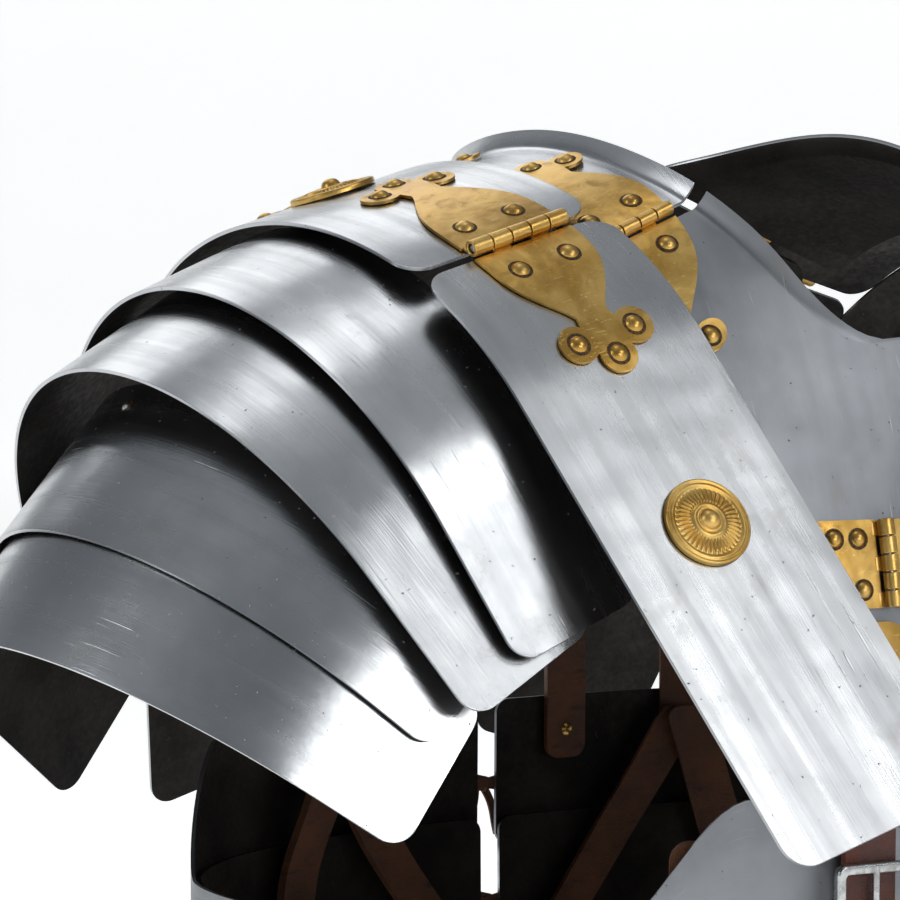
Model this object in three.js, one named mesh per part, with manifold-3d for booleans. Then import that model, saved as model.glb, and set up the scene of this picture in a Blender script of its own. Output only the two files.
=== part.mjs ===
// A plate cuirass of hooped steel bands: collar unit, hinged upper shoulder guards, four curved lames
// on each shoulder and a girdle of half hoops. Millimetres, +Z up, the wearer faces -Y, origin in the
// middle of the neck opening at the height where the collar sits on the shoulders.
import * as THREE from 'three';
import { mergeVertices } from 'three/addons/utils/BufferGeometryUtils.js';
import Module from 'manifold-3d';

const wasm = await Module();
wasm.setup();

const DEG = Math.PI / 180;

// Stock and gaps
const STEEL = 1.2;
const BRASS = 1.0;
const LEATHER = 2.5;
const SEAT_GAP = 0.3;
const CENTRE_GAP = 0.6;

// Upper shoulder guard: one band over the shoulder in three hinged plates
const GUARD_OUT = 126;
const GUARD_TILT = 15.8 * DEG;
const GUARD_WIDTH = 70;
const GUARD_CROWN = { radius: 148, until: 24.3 };
const GUARD_FRONT_BEND = { radius: 100, until: 58.5 };
const GUARD_BACK_BEND = { radius: 100, until: 70 };
const GUARD_FRONT_HINGE_AT = 69;
const GUARD_BACK_HINGE_AT = 96;
const GUARD_EDGE_GAP = 2;
const GUARD_FRONT_END = 280;
const GUARD_BACK_END = 295;
const GUARD_CORNER = 9;

// Curved lames below the guard, inner to outer: place of the lower edge's crown, tilt of the strip,
// crown radius, bend at which the legs run straight, and the length of each leg from the crown
const LAME_ROWS = [
  { out: 196.5, up: -29, tilt: 21.7, radius: 110, until: 68.8, front: 178, back: 190, width: 48 },
  { out: 224, up: -53, tilt: 30, radius: 105, until: 67.6, front: 174, back: 182, width: 50 },
  { out: 239.5, up: -100.5, tilt: 48, radius: 103, until: 71, front: 147, back: 165, width: 57 },
  { out: 259.5, up: -133, tilt: 54, radius: 99.5, until: 69.5, front: 150.5, back: 172, width: 50 },
];
const LAME_CORNER = 8;

// Collar unit: a saddle under the guard that runs down into the chest and back
const COLLAR_DROP = 7.8;
const COLLAR_REF_OUT = 92;
const COLLAR_REF_UP = 2;
const COLLAR_SLOPE = 0.404;
const CHEST_SWEEP = { radius: 262, until: 90 };
const BACK_SWEEP = { radius: 92.8, until: 90 };
const CHEST_HALF_WIDTH = 172;
const CHEST_POWER = 2.4;
const NECK_HALF_WIDTH = 60;
const NECK_FRONT = 115;
const NECK_POWER = 2.5;
const NECK_BACK = 84;
const COLLAR_HINGE_AT = 75;
const COLLAR_EDGE_GAP = 2.5;
const MID_PLATE_OUTER = 122;
const CHEST_PLATE_OUTER = { top: 110, bottom: 62, taperFrom: 0.45, taperTo: 1.03 };
const BACK_PLATE_OUTER = 112;
const CHEST_BOTTOM = -190;
const BACK_BOTTOM = -131;
const BACK_OVERLAP_FROM = 150;
const BACK_OVERLAP = 12;
const BACK_TUCK = STEEL + 0.6;
const FLANGE_LIFT = 5;
const FLANGE_WIDTH = 4.5;

// Girdle: half hoops, each tucked under the one above
const HOOP_TOP = -178;
const HOOP_PITCH = 41;
const HOOP_HEIGHT = 51;
const HOOP_WAIST = [0, 2, 5, 7, 8, 8];
const HOOP_FLARE = 1.9;
const HOOP_SEGMENTS = 19;
const HOOP_INSET = STEEL + 0.8;
const ARM_SCOOP = { depth: 40, from: 22, full: 40, fullTo: 108, to: 135 };
const BACK_CENTRE_GAP = 4;

// Brass hinges
const BARREL_RADIUS = 2.6;
const BORE_RADIUS = 1.6;
const PIN_RADIUS = 1.15;
const KNUCKLE_GAP = 0.3;
const COLLAR_LEAF_SCALE = 0.85;
const COLLAR_HINGE_OUT = 78.8;
const COLLAR_SEAT = 0.8;
const HINGE_ACROSS = 3.5;
const LEAF_WAIST = [
  { part: 0.066, half: 18.4 },
  { part: 0.2, half: 18.3 },
  { part: 0.36, half: 17.6 },
  { part: 0.5, half: 15.4 },
  { part: 0.64, half: 11.4 },
  { part: 0.75, half: 7.6 },
  { part: 0.84, half: 5.4 },
];
const LEAF_REACH = {
  shoulderUpper: 53,
  shoulderLower: 44.2,
  shoulderBack: 44.2,
  collarUpper: 48,
  collarLower: 46,
};
const LOBE_RADIUS = 6.3;
const SIDE_LOBES = { beyond: 0, across: 10.6, turns: [0, 55, 115, 172] };
const TIP_LOBE = { beyond: 6.8, across: 0, turns: [75, 110, 145, 170] };
const TAB_INSET = 0.1;
const KNUCKLES = 5;
const KNUCKLE_SPAN = 36;
const KNUCKLE_SIDES = 8;
const PIN_SIDES = 6;

// Rosettes: pressed brass discs
const ROSETTE_FRONT_AT = 177;
const ROSETTE_TOP_AT = -20;
const ROSETTE_PROFILE = [
  { radius: 0, height: 0 },
  { radius: 13.7, height: 0 },
  { radius: 13.7, height: 1 },
  { radius: 12.7, height: 1.7 },
  { radius: 11.4, height: 1.1 },
  { radius: 5.4, height: 2.2 },
  { radius: 3.4, height: 4 },
  { radius: 0, height: 4.8 },
];
const ROSETTE_SIDES = 12;

// Chest closure and the tie straps that hang the girdle on the breastplates
const CHEST_PIN_OUT = 29;
const CHEST_HINGE_UP = -110;
const CHEST_LEAF_LENGTH = 23;
const CHEST_LEAF_HALF = 13;
const CHEST_FAR_LEAF_LENGTH = 52;
const TIE_OUT = 38;
const TIE_PLATE_TOP = -127;
const TIE_PLATE_HALF = 16;
const TIE_PLATE_HEIGHT = 34;
const TIE_STRAP_HALF = 9;
const TIE_STRAP_END = -232;
const TIE_BUCKLE_UP = -208;
const TIE_BUCKLE = { half: 14, tall: 20, wire: 3.2 };

// Inner shoulder leather
const LEATHER_HALF = 12;
const LEATHER_DEPTH = SEAT_GAP + 0.5 + LEATHER / 2;
const LEATHER_DIP = 0.8;

const STEEL_LOOK = { color: 0xb4b8bc, roughness: 0.28, metalness: 1 };
const BRASS_LOOK = { color: 0xc39a4a, roughness: 0.3, metalness: 1 };
const LEATHER_LOOK = { color: 0x5a3420, roughness: 0.75, metalness: 0 };

// Forward reach and drop of a bent section after a given length: arcs first, then a straight run
function sectionAt(arcs, length) {
  let angle = 0;
  let reach = 0;
  let drop = 0;
  let left = length;
  for (const arc of arcs) {
    const step = Math.min(left, (arc.until * DEG - angle) * arc.radius);
    const next = angle + step / arc.radius;
    reach += arc.radius * (Math.sin(next) - Math.sin(angle));
    drop += arc.radius * (Math.cos(angle) - Math.cos(next));
    angle = next;
    left -= step;
  }
  reach += left * Math.cos(angle);
  drop += left * Math.sin(angle);
  return { reach, drop, angle };
}

// A band bent over a crown. Points are (out, forward, up); along runs forward from the crown and is
// negative at the back, across runs up the tilt towards the neck, lift stands off the outer face.
function bandSurface({ out, up, tilt, frontArcs, backArcs }) {
  const inward = new THREE.Vector3(-Math.cos(tilt), 0, Math.sin(tilt));
  const rise = new THREE.Vector3(Math.sin(tilt), 0, Math.cos(tilt));
  return (along, across, lift) => {
    const side = along < 0 ? -1 : 1;
    const at = sectionAt(along < 0 ? backArcs : frontArcs, Math.abs(along));
    const forward = side * (at.reach + lift * Math.sin(at.angle));
    return new THREE.Vector3(out, forward, up)
      .addScaledVector(rise, lift * Math.cos(at.angle) - at.drop)
      .addScaledVector(inward, across);
  };
}

const guardSurface = bandSurface({
  out: GUARD_OUT,
  up: 0,
  tilt: GUARD_TILT,
  frontArcs: [GUARD_CROWN, GUARD_FRONT_BEND],
  backArcs: [GUARD_CROWN, GUARD_BACK_BEND],
});

const lameSurfaces = LAME_ROWS.map((row) => {
  const arcs = [{ radius: row.radius, until: row.until }];
  return bandSurface({ out: row.out, up: row.up, tilt: row.tilt * DEG, frontArcs: arcs, backArcs: arcs });
});

// The plan of the trunk narrows away from the middle as a superellipse does
function trunkCurve(out) {
  const part = Math.min(Math.abs(out) / CHEST_HALF_WIDTH, 1);
  return (1 - part ** CHEST_POWER) ** (1 / CHEST_POWER);
}

const lowered = (arc) => ({ radius: arc.radius - COLLAR_DROP, until: arc.until });
const COLLAR_FRONT_ARCS = [lowered(GUARD_CROWN), lowered(GUARD_FRONT_BEND), CHEST_SWEEP];
const COLLAR_BACK_ARCS = [lowered(GUARD_CROWN), BACK_SWEEP];
const CHEST_DEPTH = sectionAt(COLLAR_FRONT_ARCS, 400).reach;
const BACK_DEPTH = sectionAt(COLLAR_BACK_ARCS, 400).reach;

function collarSheet(out, along) {
  const side = along < 0 ? -1 : 1;
  const at = sectionAt(along < 0 ? COLLAR_BACK_ARCS : COLLAR_FRONT_ARCS, Math.abs(along));
  const narrowing = 1 + (trunkCurve(out) - 1) * Math.sin(at.angle) ** 2;
  const up = COLLAR_REF_UP + (COLLAR_REF_OUT - Math.abs(out)) * COLLAR_SLOPE - at.drop;
  return new THREE.Vector3(out, side * at.reach * narrowing, up);
}

// Point on the collar unit, stood off along the outward normal
function collarPoint(out, along, lift) {
  const step = 0.5;
  const here = collarSheet(out, along);
  const downhill = collarSheet(out, along + step).sub(collarSheet(out, along - step));
  const outward = collarSheet(out + step, along).sub(collarSheet(out - step, along));
  const normal = outward.cross(downhill).normalize();
  return here.addScaledVector(normal, lift);
}

// Length along the chest or back at which the collar unit reaches a height
function alongAtUp(out, up, side) {
  let low = 0;
  let high = 420;
  while (high - low > 0.01) {
    const middle = (low + high) / 2;
    if (collarSheet(out, side * middle).z > up) low = middle;
    else high = middle;
  }
  return side * low;
}

const chestPoint = (out, up, lift) => collarPoint(out, alongAtUp(Math.abs(out), up, 1), lift);

// Half width of the neck opening at a forward position
function neckOut(forward) {
  const reach = forward < 0 ? NECK_BACK : NECK_FRONT;
  const part = Math.min(Math.abs(forward) / reach, 1);
  return Math.max(CENTRE_GAP, NECK_HALF_WIDTH * (1 - part ** NECK_POWER) ** (1 / NECK_POWER));
}

// Closed wall from a grid of outer and inner points
function wallGeometry(outer, inner) {
  const rows = outer.length;
  const columns = outer[0].length;
  const corners = [...outer.flat(), ...inner.flat()];
  const at = (layer, row, column) => layer * rows * columns + row * columns + column;
  const faces = [];
  const quad = (a, b, c, d) => faces.push(a, b, c, a, c, d);
  for (let r = 0; r < rows - 1; r += 1) {
    for (let c = 0; c < columns - 1; c += 1) {
      quad(at(0, r, c), at(0, r, c + 1), at(0, r + 1, c + 1), at(0, r + 1, c));
      quad(at(1, r, c), at(1, r + 1, c), at(1, r + 1, c + 1), at(1, r, c + 1));
    }
    quad(at(0, r, 0), at(0, r + 1, 0), at(1, r + 1, 0), at(1, r, 0));
    const last = columns - 1;
    quad(at(0, r, last), at(1, r, last), at(1, r + 1, last), at(0, r + 1, last));
  }
  for (let c = 0; c < columns - 1; c += 1) {
    const last = rows - 1;
    quad(at(0, 0, c), at(1, 0, c), at(1, 0, c + 1), at(0, 0, c + 1));
    quad(at(0, last, c), at(0, last, c + 1), at(1, last, c + 1), at(1, last, c));
  }
  const geometry = new THREE.BufferGeometry();
  geometry.setAttribute('position', new THREE.Float32BufferAttribute(corners.flatMap((p) => p.toArray()), 3));
  geometry.setIndex(faces);
  return facingOut(geometry);
}

function facingOut(geometry) {
  const position = geometry.attributes.position;
  const index = geometry.index.array;
  const corner = (i) => new THREE.Vector3().fromBufferAttribute(position, index[i]);
  let volume = 0;
  for (let i = 0; i < index.length; i += 3) {
    volume += corner(i).dot(corner(i + 1).cross(corner(i + 2)));
  }
  if (volume < 0) {
    const flipped = [];
    for (let i = 0; i < index.length; i += 3) flipped.push(index[i], index[i + 2], index[i + 1]);
    geometry.setIndex(flipped);
  }
  return geometry;
}

function toSolid(geometry) {
  const bare = geometry.clone();
  bare.deleteAttribute('normal');
  bare.deleteAttribute('uv');
  const merged = mergeVertices(bare, 1e-4);
  return new wasm.Manifold(new wasm.Mesh({
    numProp: 3,
    vertProperties: new Float32Array(merged.attributes.position.array),
    triVerts: new Uint32Array(merged.index.array),
  }));
}

function fromSolid(solid) {
  const mesh = solid.getMesh();
  const geometry = new THREE.BufferGeometry();
  geometry.setAttribute('position', new THREE.BufferAttribute(mesh.vertProperties, 3));
  geometry.setIndex(new THREE.BufferAttribute(mesh.triVerts, 1));
  return geometry;
}

const joined = (geometries) => fromSolid(geometries.map(toSolid).reduce((sum, solid) => sum.add(solid)));

// Steps along a strip whose two ends have round corners, with the pull-in of the edge at each step
function roundedSteps(from, to, corner, middleSteps) {
  const direction = Math.sign(to - from);
  const turns = [0, 30, 60, 90].map((turn) => ({
    run: corner * (1 - Math.cos(turn * DEG)),
    inset: corner * (1 - Math.sin(turn * DEG)),
  }));
  const start = turns.map(({ run, inset }) => ({ along: from + direction * run, inset }));
  const end = turns.map(({ run, inset }) => ({ along: to - direction * run, inset })).reverse();
  const middle = [];
  for (let i = 1; i < middleSteps; i += 1) {
    const share = i / middleSteps;
    middle.push({ along: THREE.MathUtils.lerp(start[3].along, end[0].along, share), inset: 0 });
  }
  return [...start, ...middle, ...end];
}

// Steel strip on a band surface between two edges
function stripGeometry(surface, { from, to, low, high, corner, middleSteps }) {
  const steps = roundedSteps(from, to, corner, middleSteps);
  const layer = (lift) => steps.map(({ along, inset }) => [
    surface(along, low + inset, lift),
    surface(along, high - inset, lift),
  ]);
  return wallGeometry(layer(0), layer(-STEEL));
}

// One plate of the collar unit: rows run from one edge to the other, columns from the neck edge outward
function collarPlateGeometry({ rows, alongOf, outerEdge, innerLift, outerColumns }) {
  const layer = (depth) => rows.map((share) => {
    let low = CENTRE_GAP;
    let high = NECK_HALF_WIDTH;
    while (high - low > 0.01) {
      const middle = (low + high) / 2;
      if (middle > neckOut(collarSheet(middle, alongOf(share, middle)).y)) high = middle;
      else low = middle;
    }
    const forward = collarSheet(low, alongOf(share, low)).y;
    const reach = forward < 0 ? NECK_BACK : NECK_FRONT;
    const towardsCentre = THREE.MathUtils.smoothstep(Math.abs(forward) / reach, 0.74, 1);
    const atNeck = low > CENTRE_GAP + 0.5;
    const lift = atNeck ? FLANGE_LIFT * (1 - 0.8 * towardsCentre) : 0;
    const outer = outerEdge(share);
    const columns = [
      { out: low, lift },
      { out: low + FLANGE_WIDTH * 0.4, lift: lift * 0.45 },
      { out: low + FLANGE_WIDTH, lift: 0 },
    ];
    for (let i = 1; i <= outerColumns; i += 1) {
      columns.push({ out: THREE.MathUtils.lerp(low + FLANGE_WIDTH, outer, i / outerColumns), lift: 0 });
    }
    return columns.map((column) => (
      collarPoint(column.out, alongOf(share, column.out), column.lift + innerLift - depth)
    ));
  });
  return wallGeometry(layer(0), layer(STEEL));
}

const evenSteps = (count) => Array.from({ length: count + 1 }, (_, i) => i / count);

function breastplateGeometry() {
  const top = COLLAR_HINGE_AT + COLLAR_EDGE_GAP;
  return collarPlateGeometry({
    rows: [0, 0.07, 0.14, 0.21, 0.27, 0.32, 0.36, 0.4, 0.5, 0.62, 0.75, 0.88, 1],
    alongOf: (share, out) => THREE.MathUtils.lerp(top, alongAtUp(out, CHEST_BOTTOM, 1), share),
    outerEdge: (share) => {
      const { top: wide, bottom, taperFrom, taperTo } = CHEST_PLATE_OUTER;
      return THREE.MathUtils.lerp(wide, bottom, THREE.MathUtils.smoothstep(share, taperFrom, taperTo));
    },
    innerLift: 0,
    outerColumns: 4,
  });
}

function midCollarGeometry() {
  const edge = COLLAR_HINGE_AT - COLLAR_EDGE_GAP;
  return collarPlateGeometry({
    rows: evenSteps(11),
    alongOf: (share) => THREE.MathUtils.lerp(-edge, edge, share),
    outerEdge: () => MID_PLATE_OUTER,
    innerLift: 0,
    outerColumns: 2,
  });
}

function backUpperGeometry() {
  const top = COLLAR_HINGE_AT + COLLAR_EDGE_GAP;
  return collarPlateGeometry({
    rows: evenSteps(6),
    alongOf: (share) => -THREE.MathUtils.lerp(top, BACK_OVERLAP_FROM + BACK_OVERLAP, share),
    outerEdge: () => BACK_PLATE_OUTER,
    innerLift: 0,
    outerColumns: 3,
  });
}

function backLowerGeometry() {
  return collarPlateGeometry({
    rows: evenSteps(5),
    alongOf: (share, out) => (
      THREE.MathUtils.lerp(-BACK_OVERLAP_FROM, alongAtUp(out, BACK_BOTTOM, -1), share)
    ),
    outerEdge: () => BACK_PLATE_OUTER,
    innerLift: -BACK_TUCK,
    outerColumns: 3,
  });
}

// The top hoop's upper edge is scooped out below the arm, between turns in degrees from the front centre
function armScoop(turn) {
  const { depth, from, full, fullTo, to } = ARM_SCOOP;
  const degrees = turn / DEG;
  const fall = THREE.MathUtils.smoothstep(degrees, from, full);
  return depth * fall * (1 - THREE.MathUtils.smoothstep(degrees, fullTo, to));
}

// Half hoop of the girdle from the front centre round the side to the back centre
function hoopGeometry(number) {
  const top = HOOP_TOP - number * HOOP_PITCH;
  const nextWaist = HOOP_WAIST[Math.min(number + 1, HOOP_WAIST.length - 1)];
  const rim = [
    { up: top, narrowing: HOOP_WAIST[number] },
    { up: top - HOOP_HEIGHT, narrowing: nextWaist - HOOP_FLARE },
  ];
  const plan = (turn, narrowing) => {
    const power = 2 / CHEST_POWER;
    const forward = Math.cos(turn);
    const depth = forward < 0 ? BACK_DEPTH - BACK_TUCK : CHEST_DEPTH;
    const inset = HOOP_INSET + narrowing;
    const centreGap = forward < 0 ? BACK_CENTRE_GAP : CENTRE_GAP;
    return {
      out: Math.max(centreGap, (CHEST_HALF_WIDTH - inset) * Math.sin(turn) ** power),
      forward: Math.sign(forward) * (depth - inset) * Math.abs(forward) ** power,
    };
  };
  const layer = (depth) => rim.map(({ up, narrowing }, edge) => (
    evenSteps(HOOP_SEGMENTS).map((share) => {
      const turn = share * Math.PI;
      const scoop = number === 0 && edge === 0 ? armScoop(turn) : 0;
      const point = plan(turn, narrowing + depth);
      return new THREE.Vector3(point.out, point.forward, up - scoop);
    })
  ));
  return wallGeometry(layer(0), layer(STEEL));
}

// Cylinder or tube between two points, in side coordinates
function roundBar(start, end, radius, sides, bore = 0) {
  const length = start.distanceTo(end);
  const half = length / 2;
  const outline = bore
    ? [[bore, -half], [radius, -half], [radius, half], [bore, half], [bore, -half]]
    : [[0, -half], [radius, -half], [radius, half], [0, half]];
  const geometry = new THREE.LatheGeometry(outline.map(([x, y]) => new THREE.Vector2(x, y)), sides);
  const axis = end.clone().sub(start).normalize();
  geometry.applyQuaternion(new THREE.Quaternion().setFromUnitVectors(new THREE.Vector3(0, 1, 0), axis));
  geometry.translate(...start.clone().add(end).multiplyScalar(0.5).toArray());
  return lathed(geometry);
}

// A lathe's seam and poles are closed by merging, and its faces are turned out
function lathed(geometry) {
  geometry.deleteAttribute('normal');
  geometry.deleteAttribute('uv');
  const merged = mergeVertices(geometry, 1e-4);
  const index = merged.index.array;
  const kept = [];
  for (let i = 0; i < index.length; i += 3) {
    const [a, b, c] = [index[i], index[i + 1], index[i + 2]];
    if (a !== b && b !== c && c !== a) kept.push(a, b, c);
  }
  merged.setIndex(kept);
  return facingOut(merged);
}

// Plate of sheet brass on a surface: half widths at distances from its top edge
function sheetLeaf(map, outline, thickness) {
  const layer = (lift) => outline.map(({ along, half }) => [
    map(along, -half, lift),
    map(along, half, lift),
  ]);
  return wallGeometry(layer(thickness), layer(0));
}

// Half widths of a hinge leaf that narrows from the pin to a waist and ends in three round lobes, of
// which the middles of the two side lobes are reach away from the pin
function lobedOutline(reach, scale) {
  const waist = LEAF_WAIST.map(({ part, half }) => ({ along: part * reach, half: half * scale }));
  const lobes = [SIDE_LOBES, TIP_LOBE].flatMap(({ beyond, across, turns }) => turns.map((turn) => ({
    along: reach + scale * (beyond - LOBE_RADIUS * Math.cos(turn * DEG)),
    half: scale * (across + LOBE_RADIUS * Math.sin(turn * DEG)),
  })));
  return [...waist, ...lobes];
}

// Hinge leaf: map(along, across, lift) measures along from the pin and across parallel to it, lift from
// the underside of the brass
function hingeLeaf(map, { outline, span, knuckles, bored, withPin }) {
  const pieces = [sheetLeaf(map, outline, BRASS)];
  const knuckle = span / KNUCKLES;
  for (const number of knuckles) {
    const from = -span / 2 + number * knuckle + KNUCKLE_GAP / 2;
    const to = from + knuckle - KNUCKLE_GAP;
    const bore = bored ? BORE_RADIUS : 0;
    const ends = [map(0, from, BARREL_RADIUS), map(0, to, BARREL_RADIUS)];
    pieces.push(roundBar(...ends, BARREL_RADIUS, KNUCKLE_SIDES, bore));
    const tab = (lift) => [0, BARREL_RADIUS + 1].map((along) => [
      map(along, from + KNUCKLE_GAP, lift),
      map(along, to - KNUCKLE_GAP, lift),
    ]);
    pieces.push(wallGeometry(tab(BRASS - TAB_INSET), tab(TAB_INSET)));
  }
  if (withPin) {
    const reach = span / 2 - 1;
    const ends = [map(0, -reach, BARREL_RADIUS), map(0, reach, BARREL_RADIUS)];
    pieces.push(roundBar(...ends, PIN_RADIUS, PIN_SIDES));
  }
  return joined(pieces);
}

const FIXED_KNUCKLES = [0, 2, 4];
const MOVING_KNUCKLES = [1, 3];

function shoulderLeafGeometry({ pinAt, away, reach, moving }) {
  const map = (along, across, lift) => (
    guardSurface(pinAt + away * along, HINGE_ACROSS + across, SEAT_GAP + lift)
  );
  return hingeLeaf(map, {
    outline: lobedOutline(reach, 1),
    span: KNUCKLE_SPAN,
    knuckles: moving ? MOVING_KNUCKLES : FIXED_KNUCKLES,
    bored: moving,
    withPin: !moving,
  });
}

// The collar hinges lie under a strapped-down guard and never open in wear, so each is one piece
function collarHingeGeometry(end) {
  const map = (along, across, lift) => (
    collarPoint(COLLAR_HINGE_OUT - across, end * (COLLAR_HINGE_AT + along), COLLAR_SEAT + lift)
  );
  const lower = lobedOutline(LEAF_REACH.collarLower, COLLAR_LEAF_SCALE);
  const upper = lobedOutline(LEAF_REACH.collarUpper, COLLAR_LEAF_SCALE);
  const mirrored = upper.map(({ along, half }) => ({ along: -along, half })).reverse();
  const plate = sheetLeaf(map, [...mirrored, ...lower], BRASS);
  const radius = BARREL_RADIUS * COLLAR_LEAF_SCALE;
  const half = (KNUCKLE_SPAN * COLLAR_LEAF_SCALE) / 2;
  return joined([plate, roundBar(map(0, -half, radius), map(0, half, radius), radius, KNUCKLE_SIDES)]);
}

// Breast closure: a hinge with an upright pin on the right plate, its long leaf crosses to the left
function chestHingeGeometry(far) {
  const away = far ? -1 : 1;
  const map = (along, across, lift) => (
    chestPoint(CHEST_PIN_OUT + away * along, CHEST_HINGE_UP + across, COLLAR_SEAT + lift)
  );
  const length = far ? CHEST_FAR_LEAF_LENGTH : CHEST_LEAF_LENGTH;
  const start = BARREL_RADIUS + 0.3;
  const steps = far ? [start, 14, CHEST_PIN_OUT, CHEST_PIN_OUT + 11, length] : [start, 12, length];
  return hingeLeaf(map, {
    outline: steps.map((along) => ({ along, half: CHEST_LEAF_HALF })),
    span: 2 * CHEST_LEAF_HALF,
    knuckles: far ? MOVING_KNUCKLES : FIXED_KNUCKLES,
    bored: far,
    withPin: !far,
  });
}

function tiePlateGeometry() {
  const map = (along, across, lift) => (
    chestPoint(TIE_OUT + across, TIE_PLATE_TOP - along, COLLAR_SEAT + lift)
  );
  const outline = [0, 30, 60, 90].map((turn) => ({
    along: TIE_PLATE_HALF * 0.7 * (1 - Math.cos(turn * DEG)),
    half: TIE_PLATE_HALF * (0.45 + 0.55 * Math.sin(turn * DEG)),
  }));
  outline.push({ along: 22, half: TIE_PLATE_HALF }, { along: TIE_PLATE_HEIGHT, half: TIE_PLATE_HALF });
  return sheetLeaf(map, outline, BRASS);
}

function tieStrapGeometry() {
  const top = TIE_PLATE_TOP - TIE_PLATE_HEIGHT - SEAT_GAP;
  const map = (along, across, lift) => chestPoint(TIE_OUT + across, top - along, SEAT_GAP + lift);
  const length = top - TIE_STRAP_END;
  const outline = evenSteps(4).map((share) => ({ along: share * (length - 8), half: TIE_STRAP_HALF }));
  outline.push({ along: length, half: TIE_STRAP_HALF * 0.35 });
  return sheetLeaf(map, outline, LEATHER);
}

// Rectangular buckle frame with its tongue, lying on the tie strap
function tieBuckleGeometry() {
  const { half, tall, wire } = TIE_BUCKLE;
  const frame = new THREE.Shape();
  frame.moveTo(-half, -tall / 2);
  frame.lineTo(half, -tall / 2);
  frame.lineTo(half, tall / 2);
  frame.lineTo(-half, tall / 2);
  frame.closePath();
  const opening = new THREE.Path();
  opening.moveTo(-half + wire, -tall / 2 + wire);
  opening.lineTo(-half + wire, tall / 2 - wire);
  opening.lineTo(half - wire, tall / 2 - wire);
  opening.lineTo(half - wire, -tall / 2 + wire);
  opening.closePath();
  frame.holes.push(opening);
  const ring = new THREE.ExtrudeGeometry(frame, { depth: wire, bevelEnabled: false });
  const tongue = new THREE.BoxGeometry(wire, tall - wire, wire * 0.8);
  tongue.translate(0, 0, wire / 2);
  const buckle = joined([ring, tongue]);
  const centre = chestPoint(TIE_OUT, TIE_BUCKLE_UP, 2 * SEAT_GAP + LEATHER);
  const beside = chestPoint(TIE_OUT + 1, TIE_BUCKLE_UP, 2 * SEAT_GAP + LEATHER).sub(centre).normalize();
  const upward = new THREE.Vector3(0, 0, 1);
  const facing = beside.clone().cross(upward).negate();
  if (facing.y < 0) facing.negate();
  const turn = new THREE.Matrix4().makeBasis(upward.clone().cross(facing), upward, facing);
  buckle.applyMatrix4(turn);
  buckle.translate(...centre.toArray());
  return buckle;
}

function rosetteGeometry(along) {
  const outline = ROSETTE_PROFILE.map(({ radius, height }) => new THREE.Vector2(radius, height));
  const geometry = new THREE.LatheGeometry(outline, ROSETTE_SIDES);
  const foot = guardSurface(along, 0, SEAT_GAP);
  const normal = guardSurface(along, 0, SEAT_GAP + 1).sub(foot).normalize();
  geometry.applyQuaternion(new THREE.Quaternion().setFromUnitVectors(new THREE.Vector3(0, 1, 0), normal));
  geometry.translate(...foot.toArray());
  return lathed(geometry);
}

// Leather that carries the guard and the lames from the collar, riveted to each from the inside
function shoulderLeatherGeometry() {
  const collarMap = (along, across, lift) => collarPoint(across, along, lift);
  const stops = [
    { surface: collarMap, across: 100, depth: -LEATHER_DEPTH },
    { surface: collarMap, across: 111, depth: -LEATHER_DEPTH },
    { surface: guardSurface, across: 6, depth: STEEL + LEATHER_DEPTH },
    { surface: guardSurface, across: -8, depth: STEEL + LEATHER_DEPTH },
  ];
  lameSurfaces.forEach((surface, i) => {
    const edge = LAME_ROWS[i].width;
    stops.push({ surface, across: edge + 2, depth: STEEL + LEATHER_DEPTH + LEATHER_DIP });
    stops.push({ surface, across: edge - 7, depth: STEEL + LEATHER_DEPTH });
    stops.push({ surface, across: edge - 16, depth: STEEL + LEATHER_DEPTH });
  });
  const layer = (offset) => stops.map(({ surface, across, depth }) => (
    [-LEATHER_HALF, LEATHER_HALF].map((along) => surface(along, across, offset - depth))
  ));
  return wallGeometry(layer(LEATHER / 2), layer(-LEATHER / 2));
}

const cuirass = new THREE.Group();
cuirass.name = 'lorica_segmentata';

// Side coordinates (out, forward, up) to the model's frame: the right side is -X, forward is -Y
function placed(geometry, side) {
  const copy = geometry.clone();
  copy.deleteAttribute('normal');
  copy.deleteAttribute('uv');
  copy.applyMatrix4(new THREE.Matrix4().makeScale(side, -1, 1));
  return facingOut(copy.index ? copy : mergeVertices(copy));
}

function addPiece(name, geometry, side, look) {
  const mesh = new THREE.Mesh(placed(geometry, side), new THREE.MeshStandardMaterial(look));
  mesh.name = name;
  cuirass.add(mesh);
}

const SIDES = [
  { name: 'right', sign: -1 },
  { name: 'left', sign: 1 },
];

const guardStrip = (from, to, middleSteps) => stripGeometry(guardSurface, {
  from,
  to,
  low: -GUARD_WIDTH / 2,
  high: GUARD_WIDTH / 2,
  corner: GUARD_CORNER,
  middleSteps,
});

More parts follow.
